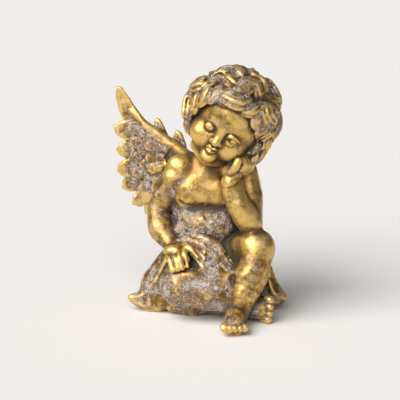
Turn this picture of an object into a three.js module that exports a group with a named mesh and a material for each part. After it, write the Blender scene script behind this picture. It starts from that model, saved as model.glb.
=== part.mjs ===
// A seated cherub resting its cheek on one fist, cast in one piece with its wings and the cloth it sits on.
// Millimetres, +Z up, the figure facing -Y. The origin lies on the flat underside, below the seat.
//
// The figure is modelled as a sculptor models clay: round limbs, eggs, feathers and locks of hair are laid on
// one after another, each melting into what is already there, and the skin is taken off as one closed mesh.
import * as THREE from 'three';

// Driving dimensions
const CELL = 2.2;
const FACES = 9400;
const ROOM = { low: at(-96, -98, 0), high: at(98, 100, 262) };

const HEAD = {
  centre: at(31, -2, 201),
  gaze: at(-0.25, -0.945, -0.21),
  lean: at(0.448, -0.305, 0.84),
  skull: at(37, 40, 38),
  cap: { place: [0, 8, 5], radii: [41.5, 39.5, 40.5] },
};

const TORSO = [
  { name: 'chest', centre: [4, 8, 128], radii: [30, 20, 28], melt: 6 },
  { name: 'back', centre: [9, 20, 116], radii: [27, 15, 38], melt: 8 },
  { name: 'belly', centre: [7, 1, 90], radii: [32, 24, 22], melt: 6 },
  { name: 'right_flank', centre: [-19, 8, 104], radii: [14, 15, 26], melt: 8 },
  { name: 'right_waist', centre: [-22, -9, 84], radii: [9, 9, 9], melt: 6 },
  { name: 'left_flank', centre: [34, 8, 96], radii: [17, 15, 30], melt: 8 },
  { name: 'hips', centre: [12, 12, 60], radii: [38, 32, 27], melt: 7 },
  { name: 'lap', centre: [8, -18, 60], radii: [24, 20, 19], melt: 7 },
  { name: 'lap_hollow', centre: [29, -32, 44], radii: [13, 12, 14], melt: 6 },
  { name: 'right_breast', centre: [-8, -4, 125], radii: [18, 8.5, 14], melt: 9 },
  { name: 'left_breast', centre: [17, -5, 123], radii: [18, 8.5, 14], melt: 9 },
  { name: 'right_buttock', centre: [-8, 32, 42], radii: [24, 20, 22], melt: 6 },
  { name: 'left_buttock', centre: [32, 32, 42], radii: [24, 20, 22], melt: 6 },
];

// Each limb is a curve through its joints, with its radius at each of them
const LIMBS = [
  { name: 'shoulders', joints: [[-18, 9, 145], [10, 11, 149], [41, 9, 141]], radii: [13, 13, 14], melt: 6 },
  { name: 'neck', joints: [[9, 8, 144], [18, 2, 168]], radii: [15, 14], melt: 5 },
  { name: 'right_upper_arm', joints: [[-20, 6, 147], [-31, 5, 126], [-41, 4, 106]],
    radii: [14, 12.5, 11.5], melt: 4 },
  { name: 'right_forearm', joints: [[-41, 3, 102], [-39, -6, 89], [-30, -19, 77]],
    radii: [12, 13, 9], melt: 2 },
  { name: 'left_upper_arm', joints: [[43, 8, 142], [49, -4, 118], [50, -19, 100]],
    radii: [14, 13.5, 12], melt: 4 },
  { name: 'left_forearm', joints: [[50, -23, 96], [44, -26, 107], [36, -27, 121], [28, -27, 142]],
    radii: [11.5, 12.5, 11.5, 8], melt: 2 },
  { name: 'right_thigh', joints: [[0, 10, 46], [-10, -12, 44], [-18, -29, 38]],
    radii: [25, 22, 20], melt: 5 },
  { name: 'right_shin', joints: [[-20, -32, 36], [8, -35, 32], [36, -34, 24], [57, -34, 16]],
    radii: [20, 19.5, 15.5, 10], melt: 6 },
  { name: 'left_thigh', joints: [[26, 12, 52], [42, -8, 62], [55, -26, 73]], radii: [25, 22, 18.5], melt: 4 },
  { name: 'left_shin', joints: [[56, -30, 74], [50, -38, 48], [41, -46, 26], [37, -49, 14]],
    radii: [17, 17, 12.5, 10.5], melt: 4 },
  { name: 'left_foot', joints: [[38, -43, 9], [35, -60, 12], [35.5, -76, 8]], radii: [9, 10.5, 8], melt: 3 },
];

const RIGHT_HAND = {
  palm: { centre: [-25, -29, 71], radii: [11, 10, 8] },
  knuckles: [[-31, -36, 65], [-13, -38, 73]],
  tips: [[-26, -47, 53], [-8, -47, 60]],
  thumb: [[-15, -31, 77], [-9, -38, 74], [-3, -42, 68]],
  finger: 3.4,
  fingers: 4,
};

const LEFT_HAND = {
  palm: { centre: [31, -25, 151], radii: [11, 9, 9] },
  curl: { centre: [39, -32, 159], radius: 4.5, step: 2.6, back: 4.4, turns: [-70, -10, 50, 100] },
  thumb: [[29, -33, 152], [34, -37, 157], [37, -37, 164]],
  finger: 3.4,
  fingers: 4,
};

const LEFT_TOES = { count: 5, first: [24, -80, 9], last: [43, -78, 8], bow: 4.5, radii: [4.8, 3.7] };
const RIGHT_FOOT = { centre: [58, -35, 14], radii: [14, 9, 13] };
const RIGHT_TOES = { count: 4, first: [68, -41, 24], last: [66, -42, 4.5], bow: 2.5, radii: [4.2, 4] };

const CLOTH = {
  seat: { centre: [8, 30, 9], radii: [66, 44, 22] },
  folds: [
    { joints: [[-26, 4, 54], [-41, 6, 28], [-46, 8, 10]], radii: [14, 18, 17], melt: 6 },
    { joints: [[-44, 6, 10], [-59, 2, 11], [-70, 0, 14]], radii: [14, 8.5, 3.5], melt: 5 },
    { joints: [[-33, -12, 55], [-45, -8, 33], [-51, -7, 12]], radii: [4, 4.5, 4.5], melt: 3 },
    { joints: [[-24, -18, 50], [-33, -20, 30], [-36, -18, 8]], radii: [4, 6, 7], melt: 4 },
    { joints: [[64, 8, 10], [76, 5, 11], [85, 2, 13]], radii: [13, 9, 4], melt: 4 },
    { joints: [[70, 10, 40], [72, 8, 26], [78, 5, 14]], radii: [6, 8, 8], melt: 4 },
    { joints: [[-26, 50, 10], [-42, 63, 11], [-52, 71, 13]], radii: [15, 9.5, 3.5], melt: 6 },
    { joints: [[42, 50, 10], [58, 63, 11], [68, 71, 13]], radii: [15, 9.5, 3.5], melt: 6 },
    { joints: [[-34, 40, 26], [-10, 54, 23], [24, 54, 23], [52, 40, 26]], radii: [5, 6, 6, 5], melt: 5 },
    { joints: [[-28, -10, 10], [-8, -14, 8], [10, -12, 10], [30, -18, 8], [54, -18, 8]],
      radii: [8, 9, 8, 9, 9], melt: 9 },
  ],
  lap: [
    { joints: [[-16, -17, 84], [0, -26, 82], [12, -31, 72], [22, -36, 60], [30, -38, 52]],
      radii: [4, 4.6, 5, 5, 4], melt: 3 },
    { joints: [[3, -23, 86], [15, -28, 79], [24, -31, 69], [32, -34, 57]],
      radii: [3.5, 4.2, 4.5, 4], melt: 2.5 },
    { joints: [[-6, -30, 76], [5, -35, 68], [11, -40, 57], [20, -43, 49]], radii: [4, 4.6, 5, 4], melt: 2.5 },
  ],
};

// Wings, in their own planes: p runs out from the root along the span, q runs up
const FEATHERS = [
  { root: [14, 14], tip: [71, 81], width: 9.5, bow: 9.5 },
  { root: [24, 24], tip: [74, 41], width: 11, bow: -2 },
  { root: [24, 18], tip: [72, 17], width: 11, bow: -1 },
  { root: [21, 10], tip: [71.5, -5], width: 10.5, bow: 0 },
  { root: [18, 2], tip: [66.5, -22], width: 10, bow: 0 },
  { root: [15, -7], tip: [55, -38], width: 9.5, bow: 1 },
  { root: [12, -16], tip: [43, -48], width: 9, bow: 1 },
];
const BONE = { line: [[0, 12], [20, 28], [40, 42], [57, 58]], radii: [8, 6, 4.5, 2.5] };
const COVERTS = [
  { share: 0.68, width: 8.5, lift: 3 },
  { share: 0.44, width: 7.5, lift: 5 },
];
const SPIKES = [
  { root: [20, 20], tip: [32, 49], width: 5 },
  { root: [4, 10], tip: [11, 37], width: 6 },
];
const WINGS = [
  { name: 'right', root: at(-14, 30, 140), span: at(-0.97, 0.243, 0), side: 1, size: 1 },
  { name: 'left', root: at(26, 32, 140), span: at(0.5, 0.866, 0), side: -1, size: 0.85 },
];
const VANE_THICK = 2.6;

// Hair: rings of locks round the crown, then a row of curls framing the face
const CROWN = at(0.42, -0.2, 0.88);
const RINGS = [
  { from: 3, length: 48, count: 6, radius: 7.4 },
  { from: 24, length: 46, count: 10, radius: 7.4 },
  { from: 48, length: 44, count: 14, radius: 7.2 },
  { from: 74, length: 40, count: 15, radius: 7 },
  { from: 100, length: 36, count: 12, radius: 6.6 },
];
const LOCK_RISE = [0, 2, 4, 4.2, 2.6, 0.6];
const FACE = { axis: at(0, -0.96, -0.28), opening: 53 };
const FRINGE = { count: 15, spread: 132, radius: 5.6, parting: -30 };
const RINGLETS = {
  drop: [[39, 6], [46, -8], [46, -22], [39, -33]],
  rows: [-11, 3, 16],
  tuck: 9,
  radius: 6.4,
};

function at(x, y, z) {
  return new THREE.Vector3(x, y, z);
}

const radians = THREE.MathUtils.degToRad;

// The value part way along a list, read as an even polyline
function along(values, share) {
  const place = share * (values.length - 1);
  const step = Math.min(Math.floor(place), values.length - 2);
  return THREE.MathUtils.lerp(values[step], values[step + 1], place - step);
}

// Forms: each has a box that holds it and a signed distance, below zero inside

// A limb: balls of changing radius swept along a smooth curve through its joints
function limb(joints, radii, steps = 10) {
  const spine = new THREE.CatmullRomCurve3(joints).getPoints(steps);
  const girth = spine.map((_, i) => along(radii, i / steps));
  const reach = new THREE.Box3().setFromPoints(spine).expandByScalar(Math.max(...radii));
  const distance = (x, y, z) => {
    let least = Infinity;
    for (let i = 0; i < steps; i++) {
      const a = spine[i];
      const b = spine[i + 1];
      const [ux, uy, uz] = [b.x - a.x, b.y - a.y, b.z - a.z];
      const [vx, vy, vz] = [x - a.x, y - a.y, z - a.z];
      const run = (ux * vx + uy * vy + uz * vz) / (ux * ux + uy * uy + uz * uz);
      const t = Math.min(Math.max(run, 0), 1);
      const gap = Math.hypot(vx - t * ux, vy - t * uy, vz - t * uz);
      least = Math.min(least, gap - girth[i] - t * (girth[i + 1] - girth[i]));
    }
    return least;
  };
  return { reach, distance };
}

// An egg: an ellipsoid on the axes of a frame
function egg(centre, radii, frame = new THREE.Matrix4()) {
  const axes = [at(), at(), at()];
  frame.extractBasis(...axes);
  const size = Math.max(radii.x, radii.y, radii.z);
  const reach = new THREE.Box3(centre.clone().subScalar(size), centre.clone().addScalar(size));
  const spans = [radii.x, radii.y, radii.z];
  const distance = (x, y, z) => {
    let near = 0;
    let slope = 0;
    for (let i = 0; i < 3; i++) {
      const a = axes[i];
      const part = ((x - centre.x) * a.x + (y - centre.y) * a.y + (z - centre.z) * a.z) / spans[i];
      near += part * part;
      slope += (part / spans[i]) ** 2;
    }
    near = Math.sqrt(near);
    return slope > 0 ? (near * (near - 1)) / Math.sqrt(slope) : -size;
  };
  return { reach, distance };
}

// The half width of a feather along its length: narrow at the quill, round at the tip
function vane(share) {
  const swell = 0.5 + 0.5 * THREE.MathUtils.smoothstep(share, 0, 0.5);
  const nearTip = Math.max((share - 0.68) / 0.32, 0);
  return swell * Math.sqrt(Math.max(1 - nearTip * nearTip, 0));
}

// A feather: a flat vane from root to tip that faces along a normal, bowed sideways in its own plane
function feather(root, tip, face, width, thick, bow) {
  const shaft = tip.clone().sub(root);
  const length = shaft.length();
  shaft.normalize();
  const out = face.clone().addScaledVector(shaft, -face.dot(shaft)).normalize();
  const across = out.clone().cross(shaft);
  const reach = new THREE.Box3().setFromPoints([root, tip]).expandByScalar(width + thick + Math.abs(bow));
  const distance = (x, y, z) => {
    const offset = at(x, y, z).sub(root);
    const run = offset.dot(shaft);
    const share = THREE.MathUtils.clamp(run / length, 0, 1);
    const aside = offset.dot(across) - bow * 4 * share * (1 - share);
    const beside = Math.max(Math.abs(aside) - width * vane(share), 0);
    return Math.hypot(beside, offset.dot(out), run - share * length) - thick;
  };
  return { reach, distance };
}

// Clay on a grid: the signed distance to the surface at every grid point
class Clay {
  constructor(low, high, cell) {
    this.cell = cell;
    this.low = low.clone().subScalar(cell / 2);
    this.count = high.clone().sub(low).divideScalar(cell).ceil().addScalar(2);
    this.values = new Float32Array(this.count.x * this.count.y * this.count.z).fill(1e3);
  }

  index(i, j, k) {
    return (k * this.count.y + j) * this.count.x + i;
  }

  // Calls visit(index, x, y, z) for each grid point near a form
  near(form, margin, visit) {
    const first = form.reach.min.clone().subScalar(margin).sub(this.low).divideScalar(this.cell).floor();
    const last = form.reach.max.clone().addScalar(margin).sub(this.low).divideScalar(this.cell).ceil();
    first.max(at(0, 0, 0));
    last.min(this.count.clone().subScalar(1));
    for (let k = first.z; k <= last.z; k++)
      for (let j = first.y; j <= last.y; j++)
        for (let i = first.x; i <= last.x; i++)
          visit(this.index(i, j, k), ...this.corner(i, j, k));
  }

  // Where a grid point lies
  corner(i, j, k) {
    return [this.low.x + i * this.cell, this.low.y + j * this.cell, this.low.z + k * this.cell];
  }

  // Lays a form on, melting it in over a width
  add(form, melt) {
    this.near(form, melt + 2 * this.cell, (n, x, y, z) => {
      const there = this.values[n];
      const laid = form.distance(x, y, z);
      const close = Math.max(melt - Math.abs(there - laid), 0);
      this.values[n] = Math.min(there, laid) - (close * close) / (4 * melt);
    });
  }

  // Cuts a form away, with its edge softened over a width
  carve(form, melt) {
    this.near(form, melt + 2 * this.cell, (n, x, y, z) => {
      const there = this.values[n];
      const cut = -form.distance(x, y, z);
      const close = Math.max(melt - Math.abs(there - cut), 0);
      this.values[n] = Math.max(there, cut) + (close * close) / (4 * melt);
    });
  }

  // Cuts everything off flat below a height
  cutBelow(height) {
    for (let k = 0; k < this.count.z; k++) {
      const over = this.low.z + k * this.cell - height;
      for (let n = this.index(0, 0, k); n < this.index(0, 0, k + 1); n++) {
        this.values[n] = Math.max(this.values[n], -over);
      }
    }
  }

  // Where a grid point lies
  place(n) {
    const { x, y } = this.count;
    return at(n % x, Math.floor(n / x) % y, Math.floor(n / (x * y))).multiplyScalar(this.cell).add(this.low);
  }

  // The skin: each cell is cut into six tetrahedra, and the surface crosses each of those in one flat piece
  skin() {
    const { count, values, cell } = this;
    const corner = (c) => (c & 1) + ((c >> 1) & 1) * count.x + (c >> 2) * count.x * count.y;
    const corners = [0, 1, 2, 3, 4, 5, 6, 7].map(corner);
    const turns = [[1, 3], [3, 2], [2, 6], [6, 4], [4, 5], [5, 1]];
    const tetrahedra = turns.map(([b, c]) => [0, b, c, 7].map(corner));
    const least = 0.06 * cell;
    const depth = values.map((value) => (value < 0 ? Math.min(value, -least) : Math.max(value, least)));
    const spots = new Map();
    const points = [];
    const triangles = [];
    const spot = ([m, n]) => {
      const key = Math.min(m, n) * depth.length + Math.max(m, n);
      if (!spots.has(key)) {
        spots.set(key, points.length);
        points.push(this.place(m).lerp(this.place(n), depth[m] / (depth[m] - depth[n])));
      }
      return spots.get(key);
    };
    const cross = (tetrahedron) => {
      const inside = tetrahedron.filter((m) => depth[m] < 0);
      const outside = tetrahedron.filter((m) => depth[m] >= 0);
      if (!inside.length || !outside.length) return;
      const [first, second] = inside;
      const ring = inside.length === 2
        ? [[first, outside[0]], [first, outside[1]], [second, outside[1]], [second, outside[0]]]
        : inside.flatMap((m) => outside.map((n) => [m, n]));
      const [p, q, r] = ring.map(([m, n]) => this.place(m).add(this.place(n)));
      const outward = this.place(outside[0]).sub(this.place(first));
      if (q.clone().sub(p).cross(r.clone().sub(p)).dot(outward) < 0) ring.reverse();
      const loop = ring.map(spot);
      for (let i = 2; i < loop.length; i++) triangles.push([loop[0], loop[i - 1], loop[i]]);
    };
    for (let k = 0; k < count.z - 1; k++)
      for (let j = 0; j < count.y - 1; j++)
        for (let i = 0; i < count.x - 1; i++) {
          const n = this.index(i, j, k);
          const inside = corners.filter((step) => depth[n + step] < 0).length;
          if (inside === 0 || inside === 8) continue;
          for (const steps of tetrahedra) cross(steps.map((step) => n + step));
        }
    return largestShell({ points, triangles });
  }
}

// The shell with the most faces; specks and closed hollows are left out
function largestShell({ points, triangles }) {
  const leader = points.map((_, v) => v);
  const find = (v) => {
    while (leader[v] !== v) {
      leader[v] = leader[leader[v]];
      v = leader[v];
    }
    return v;
  };
  for (const [a, b, c] of triangles) {
    leader[find(a)] = find(b);
    leader[find(b)] = find(c);
  }
  const shells = new Map();
  for (const triangle of triangles) {
    const shell = find(triangle[0]);
    if (!shells.has(shell)) shells.set(shell, []);
    shells.get(shell).push(triangle);
  }
  const [largest] = [...shells.values()].sort((a, b) => b.length - a.length);
  return { points, triangles: largest };
}

// Building the figure, part by part

const headBack = HEAD.gaze.clone().negate().normalize();
const headUp = HEAD.lean.clone().projectOnPlane(headBack).normalize();
const headSide = headBack.clone().cross(headUp);
const headFrame = new THREE.Matrix4().makeBasis(headSide, headBack, headUp).setPosition(HEAD.centre);

// A point of the head's own frame: x to the figure's left, y backwards, z to the crown
function inHead(x, y, z) {
  return at(x, y, z).applyMatrix4(headFrame);
}

function buildBody(clay) {
  for (const { centre, radii, melt } of TORSO) clay.add(egg(at(...centre), at(...radii)), melt);
  for (const { joints, radii, melt } of LIMBS) clay.add(limb(joints.map((p) => at(...p)), radii), melt);
}

function buildCloth(clay) {
  clay.add(egg(at(...CLOTH.seat.centre), at(...CLOTH.seat.radii)), 6);
  for (const { joints, radii, melt } of [...CLOTH.folds, ...CLOTH.lap]) {
    clay.add(limb(joints.map((p) => at(...p)), radii, 12), melt);
  }
}

function buildRightHand(clay) {
  const { palm, knuckles, tips, thumb, finger, fingers } = RIGHT_HAND;
  clay.add(egg(at(...palm.centre), at(...palm.radii)), 3);
  const [firstKnuckle, lastKnuckle, firstTip, lastTip] = [...knuckles, ...tips].map((p) => at(...p));
  for (let i = 0; i < fingers; i++) {
    const knuckle = firstKnuckle.clone().lerp(lastKnuckle, i / (fingers - 1));
    const tip = firstTip.clone().lerp(lastTip, i / (fingers - 1));
    const bend = knuckle.clone().lerp(tip, 0.45).add(at(0, -2, 2));
    const wrist = knuckle.clone().add(at(2, 7, 3));
    clay.add(limb([wrist, knuckle, bend, tip], [finger, finger * 1.1, finger, finger * 0.8]), 1);
  }
  clay.add(limb(thumb.map((p) => at(...p)), [finger, finger, finger * 0.85]), 1.5);
}

function buildLeftHand(clay) {
  const { palm, curl, thumb, finger, fingers } = LEFT_HAND;
  clay.add(egg(at(...palm.centre), at(...palm.radii)), 3);
  for (let i = 0; i < fingers; i++) {
    const radius = curl.radius + i * curl.step;
    const bent = curl.turns.map((turn) => at(radius * Math.cos(radians(turn)), curl.back * i,
      radius * Math.sin(radians(turn))).add(at(...curl.centre)));
    clay.add(limb(bent, [finger, finger, finger, finger * 0.8]), 1);
  }
  clay.add(limb(thumb.map((p) => at(...p)), [finger, finger, finger * 0.9]), 1.5);
}

// Toes in a bowed row, each a short stub
function buildToes(clay, { count, first, last, bow, radii }, heading) {
  for (let i = 0; i < count; i++) {
    const share = i / (count - 1);
    const root = at(...first).lerp(at(...last), share);
    const tip = root.clone().addScaledVector(heading, bow * Math.sin(Math.PI * (0.2 + 0.6 * share)));
    const radius = THREE.MathUtils.lerp(...radii, share);
    clay.add(limb([root.clone().addScaledVector(heading, -5), tip], [radius, radius], 1), 1.2);
  }
}

function buildFeet(clay) {
  clay.add(egg(at(...RIGHT_FOOT.centre), at(...RIGHT_FOOT.radii)), 4);
  buildToes(clay, LEFT_TOES, at(0, -1, 0));
  buildToes(clay, RIGHT_TOES, at(0.8, -0.6, 0).normalize());
}

function buildHead(clay) {
  clay.add(egg(HEAD.centre, HEAD.skull, headFrame), 4);
  clay.add(egg(inHead(...HEAD.cap.place), at(...HEAD.cap.radii), headFrame), 2);
  const features = [
    { place: [0, -13, -15], radii: [31, 26, 26], melt: 6 },
    { place: [-16, -25, -17], radii: [15.5, 14, 14], melt: 5 },
    { place: [16, -25, -17], radii: [15.5, 14, 14], melt: 5 },
    { place: [0, -33, -32], radii: [9.5, 7.5, 7], melt: 5 },
    { place: [0, -20, 12], radii: [28, 19.5, 19], melt: 6 },
    { place: [0, -39, -11], radii: [4.2, 7, 4.5], melt: 3 },
    { place: [0, -38.5, -21], radii: [6.5, 4, 3.4], melt: 2.5 },
  ];
  for (const { place, radii, melt } of features) {
    clay.add(egg(inHead(...place), at(...radii), headFrame), melt);
  }
  for (const side of [-1, 1]) {
    clay.carve(egg(inHead(side * 12.5, -43, -3), at(7.5, 6, 4.5), headFrame), 3);
    clay.add(egg(inHead(side * 12.5, -35.5, -3.5), at(5.5, 4.5, 3.8), headFrame), 1);
  }
}

// A point over the skull in a direction of the head's frame, raised by a height
function overSkull(direction, height) {
  const d = direction.clone().normalize();
  const scaled = d.clone().divide(HEAD.skull);
  return inHead(...d.multiplyScalar(1 / scaled.length() + height));
}

// A direction at an angle from an axis, turned about it from a start direction
function around(axis, start, angle, turn) {
  const level = start.clone().addScaledVector(axis, -start.dot(axis)).normalize();
  return axis.clone().multiplyScalar(Math.cos(radians(angle)))
    .addScaledVector(level.applyAxisAngle(axis, radians(turn)), Math.sin(radians(angle)));
}

// Locks fall away from the crown in staggered rings, sway, and hook over at their ends
function buildHair(clay) {
  const crown = CROWN.clone().normalize();
  const faceAxis = FACE.axis.clone().normalize();
  const onFace = (direction, slack) => direction.angleTo(faceAxis) < radians(FACE.opening + slack);
  RINGS.forEach(({ from, length, count, radius }, ring) => {
    const swing = ring % 2 ? 1 : -1;
    for (let i = 0; i < count; i++) {
      const base = (360 * (i + 0.5 * (ring % 2))) / count;
      const way = (share) => {
        const sway = swing * (15 * Math.sin(Math.PI * 1.5 * share) + 100 * Math.max(share - 0.72, 0));
        const fall = from + length * (share < 0.8 ? share : 0.8 - 0.5 * (share - 0.8));
        return around(crown, faceAxis, fall, base + sway / Math.max(Math.sin(radians(fall)), 0.4));
      };
      if (onFace(way(0.6), 4) || onFace(way(1), -4) || way(0.7).z < -0.86) continue;
      const path = LOCK_RISE.map((height, n) => overSkull(way(n / (LOCK_RISE.length - 1)), height));
      clay.add(limb(path, [0.7, 1, 1.05, 1, 0.8, 0.5].map((share) => share * radius)), 1.5);
    }
  });
  for (let i = 0; i < FRINGE.count; i++) {
    const turn = THREE.MathUtils.lerp(-FRINGE.spread, FRINGE.spread, i / (FRINGE.count - 1));
    const swing = turn > FRINGE.parting ? 1 : -1;
    const bends = [[76, -9], [66, -8], [56, 0], [55, 10], [62, 12]];
    const path = bends.map(([angle, sway], n) =>
      overSkull(around(faceAxis, at(0, 0, 1), angle, turn + swing * sway), [4, 7, 7, 6, 4][n]));
    clay.add(limb(path, [0.8, 1, 1, 0.85, 0.6].map((share) => share * FRINGE.radius)), 1.2);
  }
  for (const side of [-1, 1]) {
    RINGLETS.rows.forEach((row, i) => {
      const sway = i % 2 ? 4 : -4;
      const tuck = side < 0 ? RINGLETS.tuck : 0;
      const path = RINGLETS.drop.map(([out, height], n) =>
        inHead(side * (out - tuck), row + (n % 2) * sway, height));
      clay.add(limb(path, [0.8, 1, 1, 0.6].map((share) => share * RINGLETS.radius)), 1.5);
    });
  }
}

// The point part way along a bowed feather, in the plane of its wing
function partWay([p, q], [endP, endQ], bow, share) {
  const [run, rise] = [endP - p, endQ - q];
  const aside = (4 * bow * share * (1 - share)) / Math.hypot(run, rise);
  return [p + run * share + rise * aside, q + rise * share - run * aside];
}

function buildWing(clay, { root, span, side, size }) {
  const front = at(0, 0, 1).cross(span).multiplyScalar(side);
  const place = ([p, q], lift) =>
    root.clone().addScaledVector(span, p * size).add(at(0, 0, q * size)).addScaledVector(front, lift);
  const lay = (quill, tip, width, lift, bow = 0) => {
    const ends = [place(quill, lift), place(tip, lift)];
    clay.add(feather(...ends, front, width * size - VANE_THICK, VANE_THICK, bow * size * side), 0.8);
  };
  clay.add(limb([[-4, 4], [12, 8], [26, 14]].map((p) => place(p, 0)), [14, 9, 4]), 6);
  clay.add(limb([[-4, -8], [10, -14], [22, -18]].map((p) => place(p, 0)), [12, 7, 3]), 6);
  for (const { root: quill, tip, width } of SPIKES) lay(quill, tip, width, -5);
  FEATHERS.forEach(({ root: quill, tip, width, bow }, i) => {
    lay(quill, tip, width, (i % 2) * 1.6, bow);
    for (const covert of COVERTS) {
      const end = partWay(quill, tip, bow, covert.share);
      const bend = bow * covert.share ** 2;
      lay(quill, end, covert.width, covert.lift + (i % 2), bend);
      lay(quill, end, covert.width, -covert.lift + (i % 2), bend);
    }
  });
  clay.add(limb(BONE.line.map((p) => place(p, 1)), BONE.radii.map((r) => r * size)), 3);
}

// Merges edges, cheapest first by the quadric error of their planes, until the mesh has few enough faces
function simplify({ points, triangles }, faces) {
  const quadrics = points.map(() => new Float64Array(10));
  const around = points.map(() => new Set());
  const plane = ([a, b, c]) => {
    const normal = points[b].clone().sub(points[a]).cross(points[c].clone().sub(points[a]));
    const area = normal.length();
    return { normal: normal.normalize(), area };
  };
  triangles.forEach((triangle, t) => {
    const { normal, area } = plane(triangle);
    const four = [normal.x, normal.y, normal.z, -normal.dot(points[triangle[0]])];
    for (const v of triangle) {
      around[v].add(t);
      let n = 0;
      for (let i = 0; i < 4; i++) for (let j = i; j < 4; j++) quadrics[v][n++] += four[i] * four[j] * area;
    }
  });
  const errorAt = (q, p) =>
    q[0] * p.x * p.x + q[4] * p.y * p.y + q[7] * p.z * p.z + q[9]
    + 2 * (q[1] * p.x * p.y + q[2] * p.x * p.z + q[5] * p.y * p.z + q[3] * p.x + q[6] * p.y + q[8] * p.z);
  const merge = (a, b) => {
    const sum = quadrics[a].map((value, i) => value + quadrics[b][i]);
    const middle = points[a].clone().lerp(points[b], 0.5);
    const choices = [points[a], points[b], middle];
    const [xx, xy, xz, , yy, yz, , zz] = sum;
    const matrix = new THREE.Matrix3().set(xx, xy, xz, xy, yy, yz, xz, yz, zz);
    if (Math.abs(matrix.determinant()) > 1e-3 * (xx + yy + zz) ** 3) {
      const best = at(-sum[3], -sum[6], -sum[8]).applyMatrix3(matrix.invert());
      if (best.distanceTo(middle) < 2 * points[a].distanceTo(points[b])) choices.push(best);
    }
    const errors = choices.map((p) => errorAt(sum, p));
    const least = Math.min(...errors);
    const spot = choices[errors.indexOf(least)].clone();
    return { a, b, sum, spot, cost: Math.max(least, 0) + 1e-4 * points[a].distanceToSquared(points[b]) };
  };
  const neighbours = (v) => {
    const found = new Set();
    for (const t of around[v]) for (const u of triangles[t]) if (u !== v) found.add(u);
    return found;
  };
  const heap = [];
  const up = (i) => {
    while (i > 0) {
      const parent = (i - 1) >> 1;
      if (heap[i].cost >= heap[parent].cost) return;
      [heap[i], heap[parent]] = [heap[parent], heap[i]];
      i = parent;
    }
  };
  const down = () => {
    for (let i = 0; ;) {
      let least = i;
      for (const child of [2 * i + 1, 2 * i + 2]) {
        if (child < heap.length && heap[child].cost < heap[least].cost) least = child;
      }
      if (least === i) return;
      [heap[i], heap[least]] = [heap[least], heap[i]];
      i = least;
    }
  };
  const version = new Uint32Array(points.length);
  const offer = (a, b) => {
    const move = merge(a, b);
    move.stamp = version[a] + version[b];
    heap.push(move);
    up(heap.length - 1);
  };
  const turns = (v, other, spot) => [...around[v]].some((t) => {
    if (triangles[t].includes(other)) return false;
    const before = plane(triangles[t]).normal;
    const [p, q, r] = triangles[t].map((u) => (u === v ? spot : points[u]));
    const after = q.clone().sub(p).cross(r.clone().sub(p));
    return after.length() < 1e-3 || after.normalize().dot(before) < 0.3;
  });
  points.forEach((_, v) => neighbours(v).forEach((u) => v < u && offer(v, u)));
  let left = triangles.length;
  while (left > faces && heap.length) {
    const { a, b, sum, spot, stamp } = heap[0];
    const last = heap.pop();
    if (heap.length) {
      heap[0] = last;
      down();
    }
    if (!around[a] || !around[b] || stamp !== version[a] + version[b]) continue;
    const near = neighbours(b);
    const shared = [...neighbours(a)].filter((v) => near.has(v));
    if (shared.length !== 2 || turns(a, b, spot) || turns(b, a, spot)) continue;
    for (const t of around[b]) {
      if (triangles[t].includes(a)) {
        triangles[t].forEach((v) => v !== b && around[v].delete(t));
        triangles[t] = null;
        left -= 1;
      } else {
        triangles[t] = triangles[t].map((v) => (v === b ? a : v));
        around[a].add(t);
      }
    }
    around[b] = null;
    points[a].copy(spot);
    quadrics[a] = sum;
    const ring = neighbours(a);
    version[a] += 1;
    ring.forEach((v) => offer(a, v));
  }
  return { points, triangles: triangles.filter(Boolean) };
}

function solidGeometry({ points, triangles }) {
  const used = new Map();
  const flat = [];
  const index = triangles.flat().map((v) => {
    if (!used.has(v)) {
      used.set(v, used.size);
      flat.push(points[v].x, points[v].y, points[v].z < 0.2 ? 0 : points[v].z);
    }
    return used.get(v);
  });
  const geometry = new THREE.BufferGeometry();
  geometry.setAttribute('position', new THREE.Float32BufferAttribute(flat, 3));
  geometry.setIndex(index);
  geometry.computeVertexNormals();
  return geometry;
}

function buildCherub() {
  const clay = new Clay(ROOM.low, ROOM.high, CELL);
  buildBody(clay);
  buildCloth(clay);
  buildFeet(clay);
  for (const wing of WINGS) buildWing(clay, wing);
  buildHead(clay);
  buildHair(clay);
  buildRightHand(clay);
  buildLeftHand(clay);
  clay.cutBelow(0);
  return solidGeometry(simplify(clay.skin(), FACES));
}

const antiqueGold = new THREE.MeshStandardMaterial({ color: 0xa87d2c, roughness: 0.42, metalness: 0.75 });
const cherub = new THREE.Mesh(buildCherub(), antiqueGold);
cherub.name = 'cherub';

const statue = new THREE.Group();
statue.add(cherub);

export default statue;
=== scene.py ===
"""A seated cherub in antique gold: the fine cast surface, its finish, and the studio it is shown in.

The casting is modelled like clay, in millimetres. Every form is a signed distance, below zero inside, and is
laid on a grid one after another. The skin of the clay becomes one closed mesh in metres.
"""

import logging
import math
from abc import ABC, abstractmethod
from dataclasses import dataclass, field
from enum import Enum
from typing import Iterator, Sequence

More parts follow.
